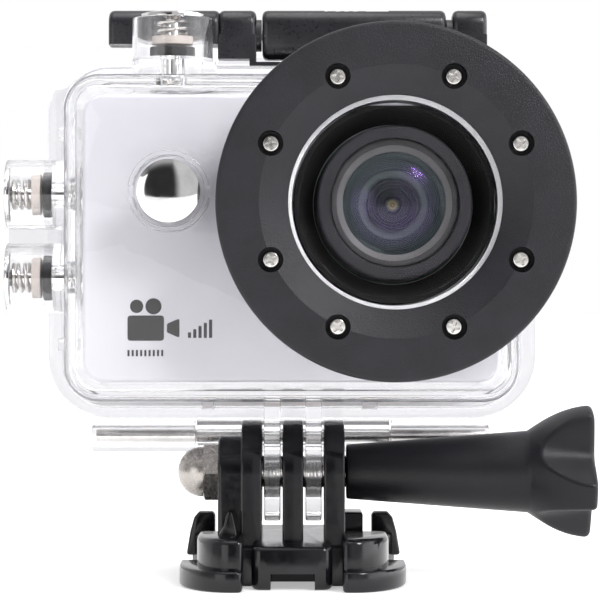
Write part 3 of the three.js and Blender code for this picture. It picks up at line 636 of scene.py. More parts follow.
def front_case():
    """The clear front half: stepped walls, flange, lens port, guards, hinge eye and the two mount fingers."""
    rim = FLANGE_FRONT + 1.4
    shell = prism("front_case", case_outline(2.6, 2.8, 5), "y", CASE_FRONT, rim, 1.2, 0.01, 5)
    low_step = prism("step", case_outline(4.3, 4.8, 7, 0.5), "y", 1.5, rim, 0.7, 0.01)
    flange = prism("flange", FLANGE, "y", FLANGE_FRONT, FLANGE_BACK, 0.5, 0.2)
    port = rod("port", 22.6, PORT_FRONT, CAVITY_FRONT - 0.4, BACK, LENS_AT, 0.3)
    upper, lower = SIDE_BUTTONS
    web = prism("guard_web", rect(upper.at.x - 6.6, -32, -2.8, -1.2), "z", lower.at.z, upper.at.z, 0.01)
    eye = hinge_eye("eye", -MIDDLE_EYE, MIDDLE_EYE, FLANGE_FRONT + 0.4, FLANGE_BACK)
    join(shell, low_step, flange, port, web, eye, mount_finger(-3), mount_finger(3), *case_ribs())
    join(shell, *[guard(b) for b in BUTTONS])

    holes = [prism("cavity", case_outline(1, 1.2, 3), "y", CAVITY_FRONT, FLANGE_BACK + 1, 0.5, 0.0),
             rod("lens_bore", 14.3, PORT_FRONT - 1, CAVITY_FRONT + 1, BACK, LENS_AT),
             rod("lens_seat", 15.2, PORT_FRONT - 1, PORT_FRONT + 0.06, BACK, LENS_AT),
             rod("bolt_bore", BOLT_HOLE, -10, 10, RIGHT, BOLT),
             rod("pin_bore", PIN_HOLE, -40, 40, RIGHT, HINGE_AT, sides=48)]
    for b in BUTTONS:
        holes += button_holes(b)
    holes += guard_notches(FRONT_BUTTON)
    holes += [rod("screw_bore", SCREW_HOLE, PORT_FRONT - 1, PORT_FRONT + 4.5, BACK, (s.x, 0, s.z), sides=24)
              for s in SCREWS]
    holes.append(prism("latch_room", rect(FLANGE_FRONT - 0.4, FLANGE_BACK + 1, BAR_TOP, 90), "x",
                       BLOCK_END, corners("latch_base")[1].x + GAP, 0.0))
    pin = corners("hinge_pin")
    for x0, x1 in ((pin[0].x - 1.6, -MIDDLE_EYE), (MIDDLE_EYE, pin[1].x + 1.6)):
        holes.append(rod("eye_room", EYE_R + GAP, x0, x1, RIGHT, HINGE_AT))
    cut(shell, *holes)
    dress(soften(shell, 0.12), CLEAR, "housing", "front_case")
    frost_lens_seat(shell)


def frost_lens_seat(shell):
    """The narrow step that the window rests on is frosted, and shows as a pale ring."""
    shell.data.materials.append(FROSTED)
    for face in shell.data.polygons:
        spot = face.center / MM
        away = math.hypot(spot.x - LENS.x, spot.z - LENS.z)
        if spot.y < CAVITY_FRONT + 0.2 and 14.2 < away < 15.25:
            face.material_index = 1


def rear_door():
    """The clear door: a plate with a raised panel, a plug that enters the case, and its outer hinge eyes."""
    plate = prism("rear_door", FLANGE, "y", FLANGE_BACK + 0.3, FLANGE_BACK + 2, 0.2, 0.5)
    panel = prism("panel", case_outline(2.3, 2.5, 6), "y", FLANGE_BACK + 1, DOOR[1].y, 0.01, 0.8)
    plug = prism("plug", case_outline(0.6, 0.8, 2.6), "y", FLANGE_BACK - 0.6, FLANGE_BACK + 0.8, 0.25, 0.01)
    pin = corners("hinge_pin")
    left = hinge_eye("left_eye", pin[0].x - 0.6, -MIDDLE_EYE - GAP, FLANGE_BACK + 0.4, FLANGE_BACK + 2)
    right = hinge_eye("right_eye", MIDDLE_EYE + GAP, pin[1].x + 0.6, FLANGE_BACK + 0.4, FLANGE_BACK + 2)
    join(plate, panel, plug, left, right)
    low, high = corners("door_gasket")
    seat = prism("seat", round_rect(high.x - low.x + 0.6, high.z - low.z + 0.6, 5.3, (low.x + high.x) / 2,
                                    (low.z + high.z) / 2), "y", low.y - 1, high.y + GAP, 0.0)
    seat_middle = prism("seat_middle", case_outline(2.2, 2.4, 3.7), "y", low.y - 2, high.y + 1, 0.0)
    cut(seat, seat_middle)
    cut(plate, seat,
        prism("plug_hollow", case_outline(-1.4, -1.2, 1.5), "y", FLANGE_BACK - 2, FLANGE_BACK + 0.5, 0.0),
        prism("panel_hollow", case_outline(-0.2, 0, 4), "y", FLANGE_BACK - 0.2, FLANGE_BACK + 2, 0.0, 0.5),
        rod("eye_room", EYE_R + GAP, -MIDDLE_EYE - GAP, MIDDLE_EYE + GAP, RIGHT, HINGE_AT),
        rod("pin_bore", PIN_HOLE, -40, 40, RIGHT, HINGE_AT, sides=48))
    dress(soften(plate, 0.1), CLEAR, "rear_door", "rear_door")


def hinge_pin():
    low, high = corners("hinge_pin")
    pin = rod("hinge_pin", 0.95, low.x, high.x, RIGHT, HINGE_AT, 0.2)
    dress(pin, STEEL, "housing", "hinge_pin")


# ---------------------------------------------------------------- lens end of the case

def lens_ring():
    """The black ring: a flat rim, a bevel down to the window's edge, and eight counterbored holes."""
    front, back = RING[0].y, RING[1].y
    bevel_end = front + 2.1
    lip = WINDOW_BOX[0].y - GAP
    r = (RING[1].x - RING[0].x) / 2
    opening, bevel_start, seat = 14.8, 18.8, 16.5
    profile = [(opening, bevel_end, 0.15), (bevel_start, front, 0.25), (r, front, 0.6), (r, back, 0.15),
               (seat, back, 0.05), (seat, lip, 0.05), (opening, lip, 0.1)]
    body = turned("lens_ring", filleted(profile, 0), BACK, LENS_AT, 160)
    holes = []
    for s in SCREWS:
        holes += [rod("bore", SCREW_HOLE, front - 1, back + 1, BACK, (s.x, 0, s.z), sides=32),
                  rod("counterbore", 1.75, front - 1, front + 2.6, BACK, (s.x, 0, s.z), sides=40)]
    cut(body, *holes)
    dress(soften(body, 0.07), TEXTURED, "housing", "lens_ring")


def ring_screw(index, place):
    """A pan-headed screw with a tapered cross recess."""
    low, high = corners(f"lens_ring_screw_{index}")
    head_r, shank_r, head_end = 1.18, 0.85, low.y + 1.1
    profile = [(0, low.y, 0), (head_r - 0.1, low.y, 0.2), (head_r, low.y + 0.3, 0.1),
               (head_r, head_end, 0.03), (shank_r, head_end, 0.02), (shank_r, high.y, 0.1), (0, high.y, 0)]
    screw = turned(f"lens_ring_screw_{index}", filleted(profile, 0), BACK, (place.x, 0, place.z), 40)
    reach, tip, root, root_at = 0.8, 0.15, 0.24, 0.25
    wing = [(-reach, -tip), (-root_at, -root), (root_at, -root), (reach, -tip),
            (reach, tip), (root_at, root), (-root_at, root), (-reach, tip)]
    wings = []
    for quarter in range(2):
        a = 0.35 * index + quarter * math.pi / 2
        along, across = Vector((math.cos(a), math.sin(a))), Vector((-math.sin(a), math.cos(a)))
        flat = [Vector((place.x, place.z)) + along * u + across * v for u, v in wing]
        wings.append(prism("wing", flat, "y", low.y - 0.5, low.y + 1.05, 0.0))
    cut(screw, *wings)
    dress(soften(screw, 0.02), STEEL, "housing", f"lens_ring_screw_{index}")


def lens_window():
    r = (WINDOW_BOX[1].x - WINDOW_BOX[0].x) / 2
    window = rod("lens_window", r, WINDOW_BOX[0].y, WINDOW_BOX[1].y, BACK, LENS_AT, 0.15, 128)
    dress(window, WINDOW, "housing", "lens_window")


def lens_shroud():
    """The tapering black tube behind the window, flattened at its top and right."""
    low, high = corners("lens_shroud")
    mouth, outside, throat, clear = 13.2, 14, 11.1, 16
    profile = [(mouth, low.y, 0.3), (outside, low.y, 0.1), (outside, high.y, 0.1), (throat, high.y, 0.3)]
    tube = turned("lens_shroud", filleted(profile, 0, 5), BACK, LENS_AT, 128)
    over_top = rect(LENS.x - clear, LENS.x + clear, high.z, LENS.z + clear)
    past_right = rect(high.x, LENS.x + clear, LENS.z - clear, LENS.z + clear)
    cut(tube, *[prism("flat", outline, "y", low.y - 1, high.y + 1, 0.0)
                for outline in (over_top, past_right)])
    dress(tube, SHROUD_BLACK, "housing", "lens_shroud")


# ---------------------------------------------------------------- latch

def latch_outline():
    return round_rect(5.6, 7.4, 2.2, LATCH.y, LATCH.z, 8)


def latch_base():
    """The fixed part of the latch: two blocks at the left, one at the right, a bar and feet under them."""
    low, high = corners("latch_base")
    lever_low, lever_high = corners("latch_lever")
    split_left, split_right = lever_low.x - 0.9, lever_high.x + 1.0
    foot_back = FLANGE_FRONT - 0.75
    foot = rect(low.y, foot_back, low.z, LATCH.z)
    body = prism("latch_base", latch_outline(), "x", low.x, BLOCK_END + 0.3, 0.8)
    blocks = [prism("second_block", latch_outline(), "x", BLOCK_END + 0.1, split_left, 0.8),
              prism("right_block", latch_outline(), "x", split_right, high.x, 0.8)]
    hubs = [rod("left_hub", 2.4, split_left - 1, lever_low.x - 0.12, RIGHT, LATCH_AT, 0.05, 48),
            rod("right_hub", 2.4, lever_high.x + 0.12, split_right + 1, RIGHT, LATCH_AT, 0.05, 48)]
    feet = [prism("bar", rect(low.y, foot_back, low.z, BAR_TOP), "x", split_left - 1, high.x, 0.1),
            prism("left_foot", rect(low.y, foot_back, low.z + 1, LATCH.z), "x", BLOCK_END, split_left, 0.15),
            prism("left_tie", foot, "x", split_left - 1, split_left, 0.15),
            prism("right_foot", foot, "x", split_right, high.x, 0.15)]
    join(body, *blocks, *hubs, *feet)
    cut(body,
        prism("flange_room", rect(0, 12, 70, FLANGE_TOP + GAP), "x", low.x - 1, BLOCK_END, 0.0),
        rod("pin_bore", LATCH_HOLE, split_left - 5, split_right + 4, RIGHT, LATCH_AT, sides=40))
    dress(soften(body, 0.15), SATIN, "housing", "latch_base")


def latch_lever():
    """The lever's block, the plate and cheeks that carry the hook, and the track that the lock slides in."""
    low, high = corners("latch_lever")
    left, right = low.x + 0.6, high.x - 0.6
    plate = rect(LATCH.y, HOOK.y + 0.2, high.z - 2.6, high.z - 0.1)
    cheek = rect(HOOK.y - 1.3, HOOK.y + 1.3, HOOK.z - 0.95, high.z - 1)
    body = prism("latch_lever", latch_outline(), "x", low.x, high.x, 0.8)
    join(body,
         prism("plate", plate, "x", left, right, 0.4),
         prism("left_cheek", cheek, "x", left, low.x + 2.2, 0.2),
         prism("right_cheek", cheek, "x", high.x - 2.2, right, 0.2))
    lock_low, lock_high = corners("latch_lock")
    travel = 3
    track = rect(lock_low.x - GAP, lock_high.x + travel + GAP, lock_low.y - GAP, lock_high.y + GAP)
    cut(body,
        rod("pin_bore", LATCH_HOLE, low.x - 1, high.x + 1, RIGHT, LATCH_AT, sides=40),
        rod("stud_bore", 0.9, low.x - 1, high.x + 1, RIGHT, HOOK_AT, sides=40),
        prism("lock_track", track, "z", high.z - 1.3, high.z + 1, 0.1))
    dress(soften(body, 0.15), SATIN, "latch_lever", "latch_lever")


def latch_hook():
    low, high = corners("latch_hook")
    left, right = low.x + 1.4, high.x - 1.4
    tip = [(HOOK.y, HOOK.z - 1), (high.y, HOOK.z - 1), (high.y, HOOK.z + 0.9), (HOOK.y, HOOK.z + 1)]
    body = rod("latch_hook", 1, left, right, RIGHT, HOOK_AT, 0.1)
    join(body, rod("studs", 0.6, low.x, high.x, RIGHT, HOOK_AT, 0.1, 40),
         prism("tip", filleted(tip, 0.4), "x", left, right, 0.2))
    dress(soften(body, 0.08), SATIN, "latch_hook", "latch_hook")


def latch_lock():
    """The small slider that locks the lever, with three grooves across it."""
    low, high = corners("latch_lock")
    body = prism("latch_lock", rect(low.x, high.x, low.y, high.y), "z", low.z, high.z, 0.2)
    cut(body, *[prism("groove", rect(x, x + 0.6, low.y - 1, high.y + 1), "z", high.z - 0.3, high.z + 1, 0.0)
                for x in (low.x + 1.4, low.x + 2.7, low.x + 4)])
    dress(soften(body, 0.08), SATIN, "latch_lock", "latch_lock")


# ---------------------------------------------------------------- case buttons

def coil(name, r, wire, turns, low, high, axis, at):
    """A compression spring of round wire whose end turns lie flat."""
    turn = Vector((0, 0, 1)).rotation_difference(Vector(axis)).to_matrix()
    steps, sides, flat_share = int(40 * turns), 10, 0.12
    rows = []
    for i in range(steps + 1):
        s = i / steps
        a = 2 * math.pi * turns * s
        rise = min(1, max(0, (s - flat_share) / (1 - 2 * flat_share)))
        centre = Vector((r * math.cos(a), r * math.sin(a), low + wire + (high - low - 2 * wire) * rise))
        out = Vector((math.cos(a), math.sin(a), 0))
        spots = [centre + out * wire * math.cos(b) + Vector((0, 0, wire * math.sin(b)))
                 for b in round_turn(sides)]
        rows.append([turn @ spot + Vector(at) for spot in spots])
    return lofted(name, rows)


def plunger(b):
    """A metal button: a softly domed cap on a stem, with the clip's groove near the stem's tip."""
    tip, top = b.span("plunger")
    r, under = b.cap_radius, top - b.cap_thickness
    stem, neck, groove = 0.95, 0.6, tip + 0.35
    crown, spread, steps = 0.3, 1.2, 10
    profile = [(0, tip), (0.75, tip), (stem, tip + 0.2), (stem, groove), (neck, groove), (neck, groove + 0.7),
               (stem, groove + 0.7), (stem, under - 0.3), (1.25, under), (r - 0.2, under), (r, under + 0.2),
               (r, top - 0.55), (r - 0.05, top - 0.4)]
    for k in range(steps, -1, -1):
        a = spread * k / steps
        drop = crown * (1 - math.cos(a * 0.9)) / (1 - math.cos(0.9 * spread))
        profile.append((r * math.sin(a) * 0.975, top - drop))
    body = turned(f"{b.side}_button_plunger", profile, b.axis, b.at, 128)
    dress(body, CHROME, f"{b.side}_plunger", f"{b.side}_button_plunger")


def button_fittings(b):
    """A case button's collar, seal and clip, and its spring, which gets a mesh of its own."""
    name = f"{b.side}_button"
    rings = [("collar", 1.3, 3.0, 0.15, 64, COLLAR, "housing"),
             ("seal", 1.3, 3.3, 0.25, 64, RUBBER, "housing"),
             ("clip", 0.85, 1.9, 0.05, 48, STEEL, f"{b.side}_plunger")]
    for piece, inner, outer, edge, sides, material, body in rings:
        made = ring(f"{name}_{piece}", inner, outer, *b.span(piece), b.axis, b.at, edge, sides)
        dress(made, material, body, f"{name}_{piece}")
    low, high = b.span("spring")
    spring = coil(f"{name}_spring", 2.0, b.wire, b.turns, low, high, b.axis, b.at)
    dress(spring, STEEL, "housing", f"{name}_spring")
    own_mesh(spring)


# ---------------------------------------------------------------- camera

def front_cover():
    """The camera's front plate, hollow behind, with its lens hole and a hole for the front key."""
    low, high = PLATE
    key = middle("camera_front_key")
    body = prism("camera_front_cover", case_outline(0, 0, 3), "y", low.y, high.y, 0.6, 0.01, 5)
    cut(body,
        prism("hollow", case_outline(-SKIN, -SKIN, 1.7), "y", low.y + SKIN, high.y + 1, 0.0),
        rod("lens_hole", 11.1, low.y - 1, high.y + 1, BACK, LENS_AT),
        rod("key_hole", KEY_HOLE, low.y - 1, high.y + 1, BACK, (key.x, 0, key.z), sides=48))
    dress(soften(body, 0.1), SILVER, "housing", "camera_front_cover")


def print_marks():
    """A generic film camera, a row of growing bars and a scale of ticks, printed on the plate."""
    front, back = PLATE[0].y - 0.03, PLATE[0].y + 0.01
    x, z = PLATE[0].x + 6.4, PLATE[0].z + 5.9
    camera = filleted(rect(x, x + 5.2, z, z + 3.6), 0.5)
    hood = filleted([(x + 5.6, z + 1.2), (x + 7.4, z + 0.4), (x + 7.4, z + 3.2), (x + 5.6, z + 2.4)], 0.25)
    bars = [filleted(rect(x + 8.6 + 0.75 * k, x + 9.05 + 0.75 * k, z + 0.4, z + 1.2 + 0.45 * k), 0.08)
            for k in range(5)]
    ticks = [filleted(rect(x + 0.6 * k, x + 0.3 + 0.6 * k, z - 2.2, z - 1.3), 0.06) for k in range(9)]
    marks = [prism("mark", outline, "y", front, back, 0.0, 0.0, 1)
             for outline in (camera, hood, *bars, *ticks)]
    reels = [rod("reel", r, front, back, BACK, (across, 0, z + 4.9), sides=40)
             for r, across in ((0.95, x + 1.3), (1.15, x + 3.7))]
    body = marks[0]
    join(body, *marks[1:], *reels)
    body.name = "plate_print"
    dress(body, PRINT, "housing")


def mid_frame():
    """The camera's middle band, with holes for the keys of the top and side buttons."""
    low, high = BODY
    body = prism("camera_mid_frame", case_outline(0, 0, 3), "y", low.y, high.y, 0.1)
    holes = [prism("hollow", case_outline(-SKIN, -SKIN, 1.7), "y", low.y - 1, high.y + 1, 0.0)]
    holes += [rod("key_hole", KEY_HOLE, -4, 4, b.axis, middle(f"camera_{b.side}_key"), sides=48)
              for b in (TOP_BUTTON, *SIDE_BUTTONS)]
    cut(body, *holes)
    dress(soften(body, 0.08), SILVER, "housing", "camera_mid_frame")


def camera_key(b):
    """The camera's own key under a case button: a stem with a collar that keeps it in."""
    low, high = corners(f"camera_{b.side}_key")
    half = abs((high - low).dot(b.axis)) / 2
    stem, collar, collar_end = 2.4, 3.3, 0.5 - half
    profile = [(0, -half, 0), (collar, -half, 0.1), (collar, collar_end, 0.1), (stem, collar_end, 0.02),
               (stem, half, 0.35), (0, half, 0)]
    key = turned(f"camera_{b.side}_key", filleted(profile, 0), b.axis, (low + high) / 2, 64)
    dress(key, CHROME if b is FRONT_BUTTON else SILVER, f"{b.side}_key", f"camera_{b.side}_key")


def lens_bezel():
    front, back = front_and_back("lens_bezel")
    opening, r, recess, recess_end = 9, 10.8, 9.4, front + 1.9
    profile = [(opening, recess_end, 0.02), (opening, front, 0.15), (r, front, 0.6), (r, back, 0.2),
               (recess, back, 0.05), (recess, recess_end, 0.02)]
    bezel = turned("lens_bezel", filleted(profile, 0), BACK, LENS_AT, 128)
    dress(bezel, BEZEL_BLACK, "housing", "lens_bezel")


def lens_barrel():
    """The stepped inside of the lens mount, down to the small rear element and its pupil."""
    front, back = front_and_back("lens_barrel")
    rear_element = [(0, -11.3), (0.35, -11.28), (0.7, -11.1), (1.25, -11.0), (1.3, -11.6), (2.3, -11.5)]
    steps_down = [(2.35, -11.8), (2.7, -11.8), (2.75, -12.1), (3.1, -12.1), (3.15, -12.5), (3.5, -12.5)]
    facet = [(3.55, -11.2), (4.85, -12.9)]
    profile = rear_element + steps_down + facet
    ridges = 9
    for k in range(ridges):
        r, t = 4.9 + 2.15 * k / ridges, -12.95 - 3.2 * k / ridges
        profile += [(r, t), (r + 0.03, t - 0.34), (r + 0.13, t - 0.34)]
    retaining_ring = [(7.15, -16.2), (7.2, front + 0.95), (8.0, front + 0.08), (8.08, front), (8.7, front)]
    outside = [(8.7, front + 0.9), (8.98, front + 0.9), (8.98, back), (0, back)]
    barrel = turned("lens_barrel", profile + retaining_ring + outside, BACK, LENS_AT, 128)
    dress(barrel, BARREL, "housing", "lens_barrel")


def front_lens():
    """The front element, a meniscus that bulges forwards. Its edge is blackened."""
    front = front_and_back("front_lens")[0]
    thickness = 0.9
    angles = [math.pi / 6.2 * k / 24 for k in range(25)]
    outer = [(14.6 * math.sin(a), front + 14.6 * (1 - math.cos(a))) for a in angles]
    inner = [(13.4 * math.sin(a), front + thickness + 13.4 * (1 - math.cos(a))) for a in reversed(angles)]
    profile = [p for p in outer if p[0] < 7.13] + [p for p in inner if p[0] < 6.9]
    lens = turned("front_lens", profile, BACK, LENS_AT, 128)
    dress(lens, COATED, "housing", "front_lens")
    lens.data.materials.append(SHROUD_BLACK)
    for face in lens.data.polygons:
        face.material_index = int(abs(face.normal.y) < 0.6)


# ---------------------------------------------------------------- mount

def mirrored(points, side):
    return [(side * p[0], *p[1:]) for p in points]


def lobe(side, inner, outer, near, shoulder, back):
    """A buckle lobe's plan: a quarter ellipse from its outer edge to its rounded near end."""
    corner = 1.5
    curve = []
    for k in range(1, 25):
        a = math.pi / 2 * k / 24
        across = inner + corner + (outer - inner - corner) * math.sin(a)
        curve.append((across, shoulder + (near - shoulder) * math.cos(a), 0))
    outline = [(inner, back, 0), (inner, near, corner), *curve, (outer, back, 0)]
    return filleted(mirrored(outline, side), 0, 8)


def buckle():
    """The buckle's body with its side lobes, and the fork that stands on it."""
    prong_sides = [(-8.1, 4), (8.1, 4), (7.5, BOLT.z)] + arc(7.5, 0, 180, 48, 0, BOLT.z)
    prongs = [prism(f"prong_{x}", prong_sides, "x", x - 1.5, x + 1.5, 0.3) for x in (-6, 0, 6)]
    body = prism("buckle", round_rect(11.4, 35, 1.5, -0.1, 0.5), "z", 0, 6.1, 0.7)
    parts = [prism("deck", round_rect(15, 17, 1, 0, 0.5), "z", 1, 6.1, 0.5),
             prism("back", round_rect(13, 8, 1.5, 0, 15.5), "z", 0, 5, 0.6),
             prism("stop", rect(7, 10.3, 1.5, 7.5), "z", 4.5, 9.4, 0.4)]
    for side in (-1, 1):
        tie = mirrored([(4.2, -12), (8, -12), (8, -3), (4.2, -3)], side)
        parts += [prism("flange", lobe(side, 7, 16.3, -20, -7.5, -3), "z", 0, 2.9, 0.4),
                  prism("lobe", lobe(side, 7, 13.7, -17.4, -8.5, -3), "z", 0.5, 7.1, 0.8),
                  prism("tie", tie, "z", 0, 5.4, 0.2)]
    fin = [(-10.9, 6.5), (-10.5, 7.2), (-9.9, 8.2), (-9.6, 9.6),
           (-9.2, 10.3), (-8.7, 10.2), (-8.2, 8.2), (-7.9, 6.5)]
    boss = [(-5.9, 5.5), (5.9, 5.5), (5.3, BOLT.z)] + arc(5.3, 0, 180, 40, 0, BOLT.z)
    parts += [prism("fin", fin, "y", -9, -5, 0.3), prism("nut_boss", boss, "x", -10.9, -7, 0.5, 0.01)]
    join(body, *parts, *prongs)
    cut(body,
        rod("bolt_bore", BOLT_HOLE, -12, 9, RIGHT, BOLT),
        prism("nut_socket", arc(4.92, 0, 300, 5, 0, BOLT.z), "x", -12, -9, 0.0),
        prism("front_slot", rect(-3.1, 3.1, -1, 2.3), "y", -20, -6, 0.2))
    dress(soften(body, 0.22), GLOSS, "buckle", "buckle")


def buckle_arm(side, name):
    """A springy arm along the buckle's side, with a ribbed finger tab at its end."""
    low, high = corners(name)
    strip = [(8.6, -2.4), (12.6, -2.4), (14.1, 2), (14.3, 15.2), (15.6, 18.4), (15.2, 19.6), (12.6, 19.6),
             (11.5, 16), (11.3, 4), (10.8, 1.5), (8.6, 1.1)]
    tab = [(12, 1.4), (16.5, 1.4), (15.9, 5), (15.3, 7.2), (14.5, high.z), (12.4, high.z), (12, 7.6)]
    ribs = [rect(side * 13.0, side * 15.4, 2.2 + 1.2 * k, 2.7 + 1.2 * k) for k in range(4)]
    body = prism(name, filleted(mirrored(strip, side), 0.5), "z", low.z, 4.9, 0.4)
    join(body, prism("tab", filleted(mirrored(tab, side), 0.5), "y", 17.4, high.y, 0.4),
         *[prism("rib", outline, "y", high.y - 0.25, high.y, 0.1) for outline in ribs])
    dress(soften(body, 0.15), GLOSS, name, name)


def acorn_nut():
    """A chamfered hexagon with a dome over the end of its bore."""
    low, high = corners("acorn_nut")
    hexagon_end, dome_foot, dome_r = -13.1, -13.2, 3.65
    nut = prism("acorn_nut", arc(4.62, 0, 300, 5, 0, BOLT.z), "x", hexagon_end, high.x, 0.0)
    chamfer = [(0, hexagon_end), (4.05, hexagon_end), (4.7, -12.75), (4.7, high.x), (0, high.x)]
    combined("INTERSECT", nut, [turned("chamfer", chamfer, RIGHT, BOLT, 96)])
    angles = [math.pi / 2 * k / 20 for k in range(1, 20)]
    dome = [(dome_r * math.sin(a), dome_foot + (low.x - dome_foot) * math.cos(a) ** 0.9) for a in angles]
    profile = [(0, low.x), *dome, (dome_r, dome_foot), (dome_r, -12), (0, -12)]
    join(nut, turned("dome", profile, RIGHT, BOLT, 96))
    cut(nut, rod("bore", BOLT_HOLE, -12.9, -8, RIGHT, BOLT))
    dress(soften(nut, 0.06), NUT_STEEL, "buckle", "acorn_nut")


def bolt():
    """The thumb screw's bolt, with a helical thread along its whole length."""
    low, high = corners("thumb_screw_bolt")
    r, pitch, depth, sides, per_turn = 2.4, 0.8, 0.22, 48, 8
    steps = int((high.x - low.x) / pitch * per_turn)
    rows = []
    for i in range(steps + 1):
        x = low.x + (high.x - low.x) * i / steps
        row = []
        for k, a in enumerate(round_turn(sides)):
            phase = (x / pitch - k / sides) % 1
            reach = r - depth * abs(2 * phase - 1)
            row.append((x, reach * math.cos(a), BOLT.z + reach * math.sin(a)))
        rows.append(row)
    dress(lofted("thumb_screw_bolt", rows), STEEL, "thumb_screw", "thumb_screw_bolt")


def knob():
    """The thumb screw's grip: a slim handle and a bell-shaped head with four scoops between its lobes."""
    low, high = corners("thumb_screw_knob")
    neck, large, head, rounding = 34.4, 6.0, 9.95, 0.9
    first_lobe, tip_width, floor, blend = 109, 11, 7.0, 0.25
    slim, edge, sides = 3.7, 0.3, 240
    handle = [(low.x + edge * (1 - math.cos(a)), slim + edge * math.sin(a))
              for a in [math.pi / 2 * k / 4 for k in range(5)]]
    handle += [(low.x + edge + (neck - low.x - edge) * k / 24, 4.0 + 2.0 * k / 24) for k in range(1, 25)]
    stations = [neck + (high.x - rounding - neck) * k / 60 for k in range(1, 61)]
    stations += [high.x - rounding * (1 - math.sin(math.pi / 2 * k / 8)) for k in range(1, 9)]
    rows = [[(x, r * math.cos(a), BOLT.z + r * math.sin(a)) for a in round_turn(sides)] for x, r in handle]
    for x in stations:
        share = (x - neck) / (high.x - neck)
        bell = large + (head - large) * math.sin(math.pi / 2 * min(1, share))
        deep = floor - 1.2 * share
        over = max(0.0, (x - high.x + rounding) / rounding)
        lost = rounding * (1 - math.sqrt(max(0.0, 1 - over ** 2)))
        row = []
        for a in round_turn(sides):
            from_scoop = abs((math.degrees(a) - first_lobe + 90) % 90 - 45)
            scoop = deep + (head - deep) * (from_scoop / (45 - tip_width)) ** 2
            gap = max(0.0, 1 - abs(bell - scoop) / (2 * blend))
            r = min(bell, scoop) - blend * gap ** 2 / 2 - lost
            row.append((x, r * math.cos(a), BOLT.z + r * math.sin(a)))
        rows.append(row)
    body = lofted("thumb_screw_knob", rows)
    cut(body, rod("socket", BOLT_HOLE, low.x - 1, 14, RIGHT, BOLT))
    dress(body, GRIP, "thumb_screw", "thumb_screw_knob")


# ---------------------------------------------------------------- the whole object

front_case()
rear_door()
hinge_pin()
lens_ring()
for number, place in enumerate(SCREWS, 1):
    ring_screw(number, place)
lens_window()
lens_shroud()
latch_base()
latch_lever()
latch_hook()
latch_lock()
for button in BUTTONS:
    plunger(button)
    button_fittings(button)
    camera_key(button)
front_cover()
print_marks()
mid_frame()
lens_bezel()
lens_barrel()
front_lens()
buckle()
buckle_arm(-1, "buckle_arm_left")
buckle_arm(1, "buckle_arm_right")
acorn_nut()
bolt()
knob()

for node, material in (("door_gasket", SILICONE), ("latch_pin", STEEL), ("camera_back_cover", SATIN),
                       ("camera_screen", SCREEN_GLASS), ("sensor_board", BOARD), ("main_board", BOARD),
                       ("battery", WRAP)):
    paint(frame["nodes"][node], material)


# ---------------------------------------------------------------- studio

def smooth_step(tree, output, low, high, to_low, to_high):
    """A smooth change from one strength to another as a direction's part goes from low to high."""
    made = tree.nodes.new("ShaderNodeMapRange")
    made.interpolation_type = "SMOOTHSTEP"
    for socket, value in (("From Min", low), ("From Max", high), ("To Min", to_low), ("To Max", to_high)):
        made.inputs[socket].default_value = value
    tree.links.new(output, made.inputs["Value"])
    return made.outputs["Result"]


def larger(tree, one, two):
    made = tree.nodes.new("ShaderNodeMath")
    made.operation = "MAXIMUM"
    tree.links.new(one, made.inputs[0])
    tree.links.new(two, made.inputs[1])
    return made.outputs["Value"]


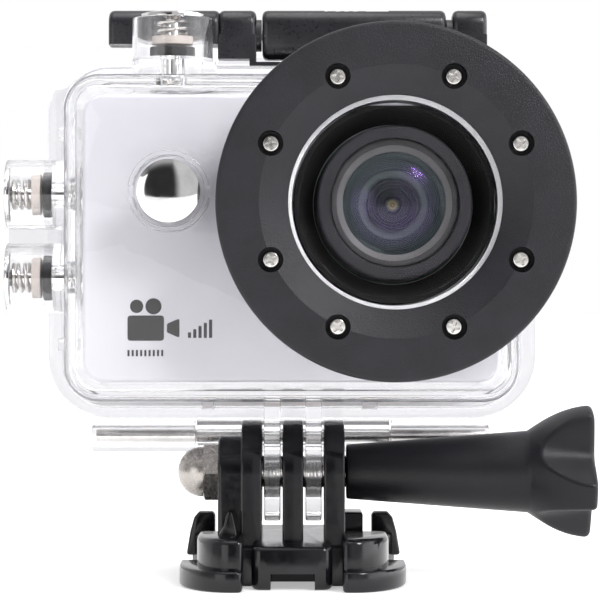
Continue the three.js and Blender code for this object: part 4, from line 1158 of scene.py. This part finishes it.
def studio_world():
    """White paper behind, a bright wall to the right, a pale table below and a dim room at the upper left."""
    world = bpy.data.worlds.new("studio")
    bpy.context.scene.world = world
    world.use_nodes = True
    tree = world.node_tree
    direction = tree.nodes.new("ShaderNodeTexCoord")
    split = tree.nodes.new("ShaderNodeSeparateXYZ")
    tree.links.new(direction.outputs["Generated"], split.inputs["Vector"])
    right, far_right = ("X", -0.02, 0.06, 0.0, 0.62), ("X", 0.6, 0.85, 0.0, 3.0)
    left, behind = ("X", -0.2, -0.7, 0.0, 0.5), ("Y", -0.25, 0.3, 0.0, 0.95)
    below, above = ("Z", 0.0, -0.05, 0.0, 0.55), ("Z", 0.25, 0.8, 0.03, 0.7)
    strength = None
    for part, *change in (right, far_right, left, below, above, behind):
        wall = smooth_step(tree, split.outputs[part], *change)
        strength = larger(tree, strength, wall) if strength else wall
    room = tree.nodes["Background"]
    room.inputs["Color"].default_value = (0.985, 0.98, 1, 1)
    tree.links.new(strength, room.inputs["Strength"])
    paper = tree.nodes.new("ShaderNodeBackground")
    paper.inputs["Color"].default_value = (1, 1, 1, 1)
    path = tree.nodes.new("ShaderNodeLightPath")
    mix = tree.nodes.new("ShaderNodeMixShader")
    tree.links.new(path.outputs["Is Camera Ray"], mix.inputs["Fac"])
    tree.links.new(room.outputs["Background"], mix.inputs[1])
    tree.links.new(paper.outputs["Background"], mix.inputs[2])
    tree.links.new(mix.outputs["Shader"], tree.nodes["World Output"].inputs["Surface"])


def studio():
    scene = bpy.context.scene
    scene.view_settings.view_transform = "Standard"
    studio_world()

    floor = mesh_object("floor", [(-6000, -6000, -0.02), (6000, -6000, -0.02), (6000, 6000, -0.02),
                                  (-6000, 6000, -0.02)], [(0, 1, 2, 3)])
    look = Look("floor", (0.93, 0.93, 0.93), 0.9, Emission_Color=(1, 1, 1, 1), Emission_Strength=0.4)
    grain = look.noise(40, 2)
    look.tint(look.remap(grain, 0, 1), (0.92, 0.92, 0.92), (0.94, 0.94, 0.94))
    floor.data.materials.append(look.material)

    for name, shape, at, size, watts in (("key", "DISK", (402, -505, 560), 290, 2.5),
                                         ("glint", "DISK", (400, -503, 557), 230, 1.4),
                                         ("fill", "SQUARE", (-420, -560, 40), 420, 0.8),
                                         ("top", "SQUARE", (-60, -60, 640), 420, 1.4)):
        data = bpy.data.lights.new(name, "AREA")
        data.shape = shape
        data.size = size * MM
        data.energy = watts
        lamp = bpy.data.objects.new(name, data)
        scene.collection.objects.link(lamp)
        lamp.location = Vector(at) * MM
        lamp.visible_diffuse = name != "glint"
        aim = Vector((0, 0, 42)) * MM - lamp.location
        lamp.rotation_euler = aim.to_track_quat("-Z", "Y").to_euler()

    data = bpy.data.cameras.new("camera")
    data.sensor_width = 36
    data.lens = 147.4
    view = bpy.data.objects.new("camera", data)
    scene.collection.objects.link(view)
    view.location = Vector((1.03, -361, 40.7)) * MM
    view.rotation_euler = (math.pi / 2, 0, 0)
    scene.camera = view


studio()
